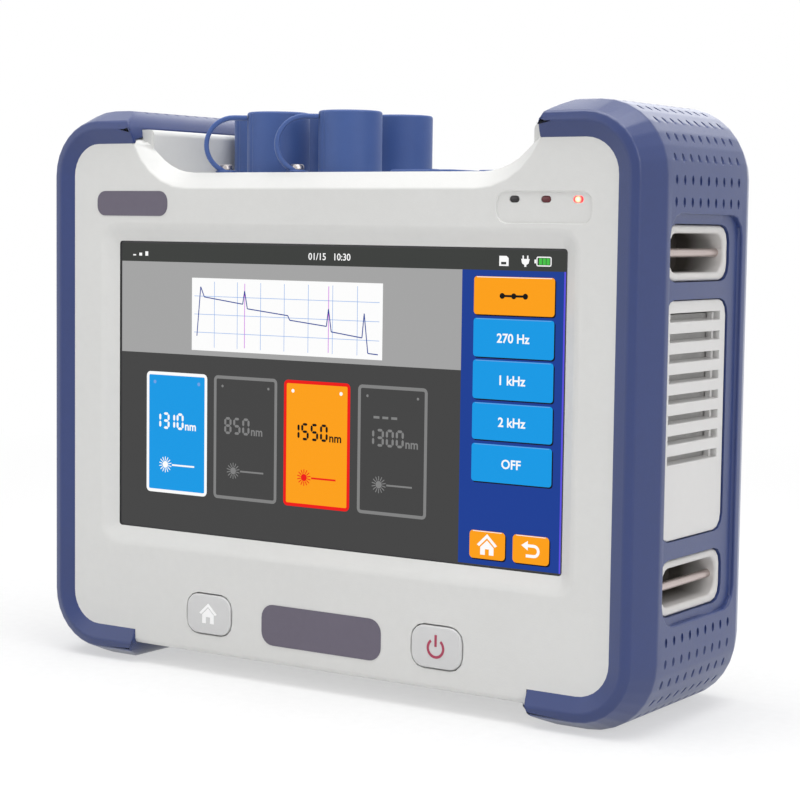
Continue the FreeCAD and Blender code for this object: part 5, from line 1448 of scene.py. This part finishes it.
for side, sign in (("right", 1), ("left", -1)):
    name = f"{side}_strap_pockets"
    pockets = copied(name)
    low, high = node_box(name)
    face_x = high.x if sign > 0 else low.x
    print(side, "rim edges", soften(pockets, 0.9, 3, 40.0, at_level(0, face_x, 0.01)))
    stand_in(pockets, name, pocket_plastic_painted_shade)

    name = f"{side}_grille"
    grille = copied(name)
    low, high = node_box(name)
    face_x = high.x if sign > 0 else low.x
    print(side, "border", soften(grille, 0.5, 2, 40.0, border_test(low, high, face_x)),
          "slats", soften(grille, 0.25, 2, 40.0, at_level(0, face_x, 0.01)))
    stand_in(grille, name, rim_plastic)

    mat = bmesh.new()
    plate(mat, rounded(low.y + FILTER_INSET, high.y - FILTER_INSET, low.z + FILTER_INSET,
                       high.z - FILTER_TOP_INSET, 1.0),
          lambda u, v, height, sign=sign: Vector((sign * height, u, v)), *FILTER_X)
    soften(mat, 0.15, 1)
    make_piece(f"{side}_dust_filter", mat, filter_finish)

bar_low, bar_high = node_box("strap_bars")
BAR_RADIUS, BAR_EDGE = 1.2, 0.3
BAR_HALF_X = bar_high.x - BAR_RADIUS
bar_profile = [(0, bar_low.y), (BAR_RADIUS - BAR_EDGE, bar_low.y),
               (BAR_RADIUS, bar_low.y + BAR_EDGE), (BAR_RADIUS, bar_high.y - BAR_EDGE),
               (BAR_RADIUS - BAR_EDGE, bar_high.y), (0, bar_high.y)]
bars = bmesh.new()
bar_heights = (bar_low.z + BAR_RADIUS, bar_high.z - BAR_RADIUS)
for sign in (1, -1):
    for z in bar_heights:
        lathe(bars, bar_profile, facing_back(sign * BAR_HALF_X, 0, z), 32)
stand_in(bars, "strap_bars", brushed("bar_metal", colour(206, 192, 188), 0.32, (1.0, 1.0, 14.0)))
print("bars at z", [round(z, 1) for z in bar_heights])

# %% [markdown]
# ## Keys
#
# Two hard plastic keys sit in the lower frame. Each is a rounded plate with a soft crown and
# carries a raised symbol: a house for the first page, and the usual ring with a stroke for
# power. The keys ride on their own bodies and move in a little when they are pressed, so the
# symbols ride with them.

# %% Keys with a crown and a symbol
KEY_CORNER = 4.0
KEY_RIM = 0.5               # round between the sides and the face
KEY_CROWN = 0.12
FLANGE, FLANGE_LEVELS = 1.6, (2.4, 3.4)     # lip that keeps a key behind the housing


def crowned(bm, width, height, radius, place, base, rim, crown, rings=4):
    """Closed plate whose face swells a little to the middle."""
    levels = [(0.0, base), (0.0, rim - KEY_RIM)]
    for i in range(1, 4):
        turn = math.pi / 2 * i / 3
        levels.append((KEY_RIM * (1 - math.cos(turn)), rim - KEY_RIM * (1 - math.sin(turn))))
    for i in range(1, rings + 1):
        share = i / (rings + 1)
        levels.append((KEY_RIM + (height / 2 - KEY_RIM) * share,
                       rim + crown * math.sin(share * 1.5)))
    loops = []
    for inset, level in levels:
        half_w, half_h = width / 2 - inset, height / 2 - inset
        corner = max(radius - inset, 0.3 * half_h)
        loops.append([bm.verts.new(place(u, v, level))
                      for u, v in rounded(-half_w, half_w, -half_h, half_h, corner, 5)])
    closed_skin(bm, loops)


key_finish = grained("key_moulding", colour(208, 208, 208), 0.34, 0.35, 0.02, drift=0.02)
symbol_finish = grained("white_ink", colour(250, 250, 250), 0.3, 0.4, 0.01, drift=0.01)
power_finish = grained("crimson_ink", colour(165, 52, 82), 0.35, 0.4, 0.01, drift=0.04)
key_places = {}
for name in ("home_key", "power_key"):
    low, high = node_box(name)
    on_key = facing_front((low.x + high.x) / 2, high.y, (low.z + high.z) / 2)
    key_places[name] = on_key
    half_w, half_h = (high.x - low.x) / 2, (high.z - low.z) / 2
    width, tall = 2 * (half_w - FLANGE), 2 * (half_h - FLANGE)
    key_depth = high.y - low.y
    bm = bmesh.new()
    crowned(bm, width, tall, KEY_CORNER, on_key, 0.6, key_depth - KEY_CROWN, KEY_CROWN)
    plate(bm, rounded(-half_w, half_w, -half_h, half_h, FLANGE), on_key, *FLANGE_LEVELS)
    stand_in(bm, name, key_finish, body=name)
    print(name, round(width, 1), "x", round(tall, 1), "mm, depth", round(key_depth, 2))

# %% Symbols on the keys
INK_LOW, INK_HIGH = key_depth - 0.2, key_depth + 0.06
INK_WIDTH = 0.75
KEY_ROOF = [(-3.3, 0.3), (0, 3.3), (3.3, 0.3), (2.6, -0.1), (0, 2.3), (-2.6, -0.1)]
KEY_WALLS = [(-2.2, -0.1), (0, 1.9), (2.2, -0.1), (2.2, -2.7), (0.8, -2.7), (0.8, -0.8),
             (-0.8, -0.8), (-0.8, -2.7), (-2.2, -2.7)]
RING_RADIUS, RING_MIDDLE, OPENING = 2.9, -0.2, 38       # the opening is half its angle
outer_ring, inner_ring = (arc(0, RING_MIDDLE, radius, 90 + OPENING, 360 - 2 * OPENING, 24)
                          for radius in (RING_RADIUS, RING_RADIUS - INK_WIDTH))
power_ring = outer_ring + inner_ring[::-1]
power_stroke = stroke(0, 3.5, 0, 0.2, INK_WIDTH)
for name, outlines, ink in (("home", (KEY_ROOF, KEY_WALLS), symbol_finish),
                            ("power", (power_ring, power_stroke), power_finish)):
    bm = bmesh.new()
    for outline in outlines:
        plate(bm, outline, key_places[f"{name}_key"], INK_LOW, INK_HIGH)
    make_piece(f"{name}_symbol", bm, ink, f"{name}_key")

# %% [markdown]
# ## Lights and blank label plates
#
# Three small lights sit in a shallow recess above the screen. The first two are dark, the
# third glows red, with a hot spot in its middle. Two rounded plates, one across from the
# lights and one between the keys, are where a maker prints something; here they stay blank.
# Their skin is finer and greyer than the housing's.

# %% Three lights
lens_low, lens_high = node_box("status_lights")
LENS_WIDTH, LENS_HEIGHT, LENS_DEPTH = 3.0, 1.8, 2.0
LENS_CROWN = 0.08
HOT_SPOT = (0.0002, 0.0011)     # metres from the middle: where it ends, and where red starts
LENS_PITCH = (lens_high.x - lens_low.x - LENS_WIDTH) / 2
lens_z = (lens_low.z + lens_high.z) / 2


def glow_finish(name, rim, middle, x, strength):
    """A lens that glows: its colour runs from the middle to the rim."""
    material, start, place = start_material(name)
    away = place.node("ShaderNodeVectorMath", {"operation": "SUBTRACT"},
                      {0: place, 1: (x * MM, lens_low.y * MM, lens_z * MM)})
    length = away.node("ShaderNodeVectorMath", {"operation": "LENGTH"}, {0: away}, output="Value")
    share = spread(length, *HOT_SPOT)
    glow = mix_colour(share, middle, rim)
    cloud = noise(place, 400.0, 2.0)
    finish_material(start, {"Base Color": shade(rim, 0.5), "Emission Color": glow,
                            "Emission Strength": strength, "Roughness": cloud * 0.15 + 0.15})
    return material


lens_finishes = [grained("lens_black", colour(26, 22, 24), 0.25, 0.3, 0.01, drift=0.1),
                 grained("lens_dark_red", colour(92, 26, 34), 0.25, 0.3, 0.01, drift=0.1),
                 glow_finish("lens_red", colour(235, 40, 48), colour(255, 236, 180),
                             lens_low.x + LENS_WIDTH / 2 + 2 * LENS_PITCH, 2.2)]
for i, finish in enumerate(lens_finishes):
    x = lens_low.x + LENS_WIDTH / 2 + i * LENS_PITCH
    on_lens = facing_front(x, lens_low.y + LENS_DEPTH, lens_z)
    bm = bmesh.new()
    crowned(bm, LENS_WIDTH, LENS_HEIGHT, LENS_HEIGHT / 2 - 0.01, on_lens, 0.0,
            LENS_DEPTH - 0.1, LENS_CROWN, 2)
    piece = make_piece(f"light_{i + 1}", bm, finish)
    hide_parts("status_lights")
print("lights at pitch", round(LENS_PITCH, 2))

# %% Blank label plates
plate_finish = grained("label_plate", colour(97, 91, 106), 0.5, 0.25, 0.02, drift=0.05)
# left, right, lower and upper edge, and the corners' radius
LABEL_PLATES = {"upper": (-84.4, -56.9, 136.1, 143.5, 3.0),
                "lower": (-20.5, 21.6, 11.6, 23.6, 4.0)}
PLATE_THICKNESS = 0.12
for name, edges in LABEL_PLATES.items():
    bm = bmesh.new()
    plate(bm, rounded(*edges, 6), facing_front(0, FRONT_FACE_Y, 0), SMALL_GAP,
          SMALL_GAP + PLATE_THICKNESS)
    make_piece(f"{name}_label_plate", bm, plate_finish)
print("label plates", len(LABEL_PLATES))

# %% [markdown]
# ## Housing
#
# The two halves of the housing are large mouldings with soft transitions: a bevelled bezel
# round the screen, hollow curves up to the shoulders, key holes and a light recess in the
# front, and a bay for the stand in the back. Their shapes are right in the CAD model, so
# the copies only get their edges rounded and their curved strips shaded as one surface.

# %% Front half
BEZEL_HALF_X, BEZEL_HALF_Z = 82.1, 48.0
# where edges are looked for: from and to in x, from and to in z, and the depth
LIGHT_RECESS = (56.9, 86.1, 135.0, 143.7, 0.6)
KEY_HOLES = (-50, 50, 11.0, 25.0)
# the same for a rim beside the connectors: half the width, from and to in z
RIM_ON_FACE, RIM_CREST = (73, 144.0, 161.0), (66.5, 149.0, 158.0)
CREST_DEPTH = 4.5           # from the face to the rim's inner edge, at the connector pocket


def front_box(low_x, high_x, low_z, high_z, depth=0.0):
    """A test for points on the front face, or down to a depth behind it."""
    return inside((low_x, FRONT_FACE_Y, low_z), (high_x, FRONT_FACE_Y + depth, high_z))


def rim_tests(face_y, crest_y):
    """Tests for the two edges of a rim beside the connectors: on the face and at its crest."""
    return [inside((-half_x, y, low_z), (half_x, y, high_z))
            for (half_x, low_z, high_z), y in ((RIM_ON_FACE, face_y), (RIM_CREST, crest_y))]


bezel = front_box(-BEZEL_HALF_X, BEZEL_HALF_X, SCREEN_CENTRE_Z - BEZEL_HALF_Z,
                  SCREEN_CENTRE_Z + BEZEL_HALF_Z)
rim_face, rim_crest = rim_tests(FRONT_FACE_Y, FRONT_FACE_Y + CREST_DEPTH)
front = copied("front_housing")
# edges, width of the round, steps of the round, smallest turn in degrees, and test
for name, *how in (("bezel", 1.3, 3, 25.0, bezel),
                   ("light recess", 0.2, 2, 25.0, front_box(*LIGHT_RECESS)),
                   ("key holes", 0.3, 2, 25.0, front_box(*KEY_HOLES)),
                   ("rim on the face", 0.45, 2, 12.0, rim_face),
                   ("crest of the rim", 0.5, 2, 25.0, rim_crest)):
    print(name, soften(front, *how))
print("open edges", open_edges(front), "faces", len(front.faces))
stand_in(front, "front_housing")

# %% Rear half
rear = copied("rear_housing")
REAR_Y = node_box("rear_housing")[1].y
rim_face, rim_crest = rim_tests(REAR_Y, REAR_Y - CREST_DEPTH)
print("rim on the face", soften(rear, 0.45, 2, 12.0, rim_face),
      "crest", soften(rear, 0.5, 2, 25.0, rim_crest))
print("open edges", open_edges(rear), "faces", len(rear.faces))
stand_in(rear, "rear_housing")

# %% [markdown]
# ## Corners of the saddle
#
# Where a rim beside the connectors meets its shoulder, the two slopes leave a notch. A
# mould maker fills it with a small fillet: a wedge that goes on with the rim's slope, and a
# thin web behind it, up to the shoulder's edge. Four copies, mirrored to the four corners,
# are enough, because the housing is the same on both sides.

# %% Four fillets
WEDGE = [(67.9, 154.0), (72.6, 154.0), (72.6, 160.3), (71.1, 159.6), (67.9, 157.1)]
WEB = square(66.6, 73.4, 155.0, 161.9)
fillets = bmesh.new()
for outline, near, far in ((WEDGE, 27.2, 29.7), (WEB, 27.3, 27.85)):
    for side in (1, -1):
        for half in (1, -1):
            plate(fillets, outline, lambda u, v, height, side=side, half=half:
                  Vector((side * u, half * height, v)), near, far)
print("points of the fillets", len(fillets.verts))
make_piece("saddle_corner_fillets", fillets, finishes["housing"])

# %% [markdown]
# ## Stand, battery door and flaps
#
# On the back are a stand that folds out and a screwed battery door; on the top two rubber
# flaps cover the sockets. Each takes a small round on its outer edges, and the flaps a
# larger one, because rubber can't hold a sharp edge. The stand and the flaps ride on their
# own bodies, since they turn on hinges.

# %% Stand and battery door
stand_leg = copied("stand")
stand_back = node_box("stand")[1].y
print("stand", soften(stand_leg, 0.5, 2, 40.0, at_level(1, stand_back)))
stand_in(stand_leg, "stand", body="stand")
battery_cover = copied("battery_door")
cover_low, cover_high = node_box("battery_door")
print("battery door", soften(battery_cover, 0.3, 2, 40.0, at_level(1, cover_high.y)))
STRIPS = 8
divide(battery_cover, 0, [cover_low.x + (cover_high.x - cover_low.x) * i / STRIPS
                          for i in range(1, STRIPS)])
stand_in(battery_cover, "battery_door")

# %% Two flaps over the sockets
RIBS, FIRST_RIB, RIB_PITCH = 4, 1.6, 1.2        # first rib's distance from the front edge
RIB_HALF, RIB_TAPER, RIB_DEPTH = 3.2, 0.2, 0.5
RIB_SUNK, RIB_PROUD = 0.05, 0.22
for name in ("data_door", "power_door"):
    low, high = node_box(name)
    flap = copied(name)
    print(name, soften(flap, 0.4, 3, 40.0, at_level(2, high.z)))
    middle = (low.x + high.x) / 2
    for i in range(RIBS):       # ribs under the thumb, along the front edge
        y = low.y + FIRST_RIB + i * RIB_PITCH
        short = RIB_HALF - RIB_TAPER
        plate(flap, [(middle - RIB_HALF, y), (middle + RIB_HALF, y),
                     (middle + short, y + RIB_DEPTH), (middle - short, y + RIB_DEPTH)],
              lying(0, 0), high.z - RIB_SUNK, high.z + RIB_PROUD)
    stand_in(flap, name, body=name)

# %% [markdown]
# ## Screws in the back
#
# The two halves are held by four long screws that sit deep in round wells, and the battery
# door by two short ones. Their heads take the same cross recess as the ones on the top. A
# node with several screws is one mesh, so its separate parts are found first by walking
# from point to point along the edges.

# %% Rear screws
def separate_boxes(bm):
    """Lowest and highest corner of every part that isn't joined to the others."""
    boxes, left = [], set(bm.verts)
    while left:
        group, rest = [], [left.pop()]
        while rest:
            point = rest.pop()
            group.append(point.co)
            for edge in point.link_edges:
                other_end = edge.other_vert(point)
                if other_end in left:
                    left.remove(other_end)
                    rest.append(other_end)
        boxes.append((Vector([min(c[i] for c in group) for i in range(3)]),
                      Vector([max(c[i] for c in group) for i in range(3)])))
    return sorted(boxes, key=lambda pair: tuple(round(c, 2) for c in pair[0]))


# radius and height of the head, and radius of the shank
REAR_SCREWS = {"housing_screws": (2.8, 2.0, 1.25), "battery_door_screws": (2.1, 1.2, 1.0)}
SHANK_EDGE = 0.4
for name, (head_radius, head_height, shank) in REAR_SCREWS.items():
    solid = copied(name)
    screws = bmesh.new()
    for low, high in separate_boxes(solid):
        seat = high.y - head_height
        on_seat = facing_back((low.x + high.x) / 2, seat, (low.z + high.z) / 2)
        pan_head(screws, on_seat, head_radius, head_height, random.uniform(0, math.pi / 2))
        tip = low.y - seat
        lathe(screws, [(0, tip), (shank, tip + SHANK_EDGE), (shank, 0), (0, 0)], on_seat, 20)
    solid.free()
    stand_in(screws, name)
    print(name, "with heads of", 2 * head_radius, "mm")

# %% [markdown]
#
# The Standard view keeps a colour as it was written. The last cell records the box of the
# CAD model and the box of the finished object, so that the two can be compared, and hands
# the scene to the frame.

# %% Finish
bpy.context.scene.view_settings.view_transform = "Standard"
bpy.context.view_layer.update()
low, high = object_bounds()
{"cad": [list(cad_low), list(cad_high)], "visual": [list(low), list(high)]}
print("CAD size in mm", [round(v / MM, 2) for v in cad_high - cad_low])
print("visual size in mm", [round(v / MM, 2) for v in high - low])
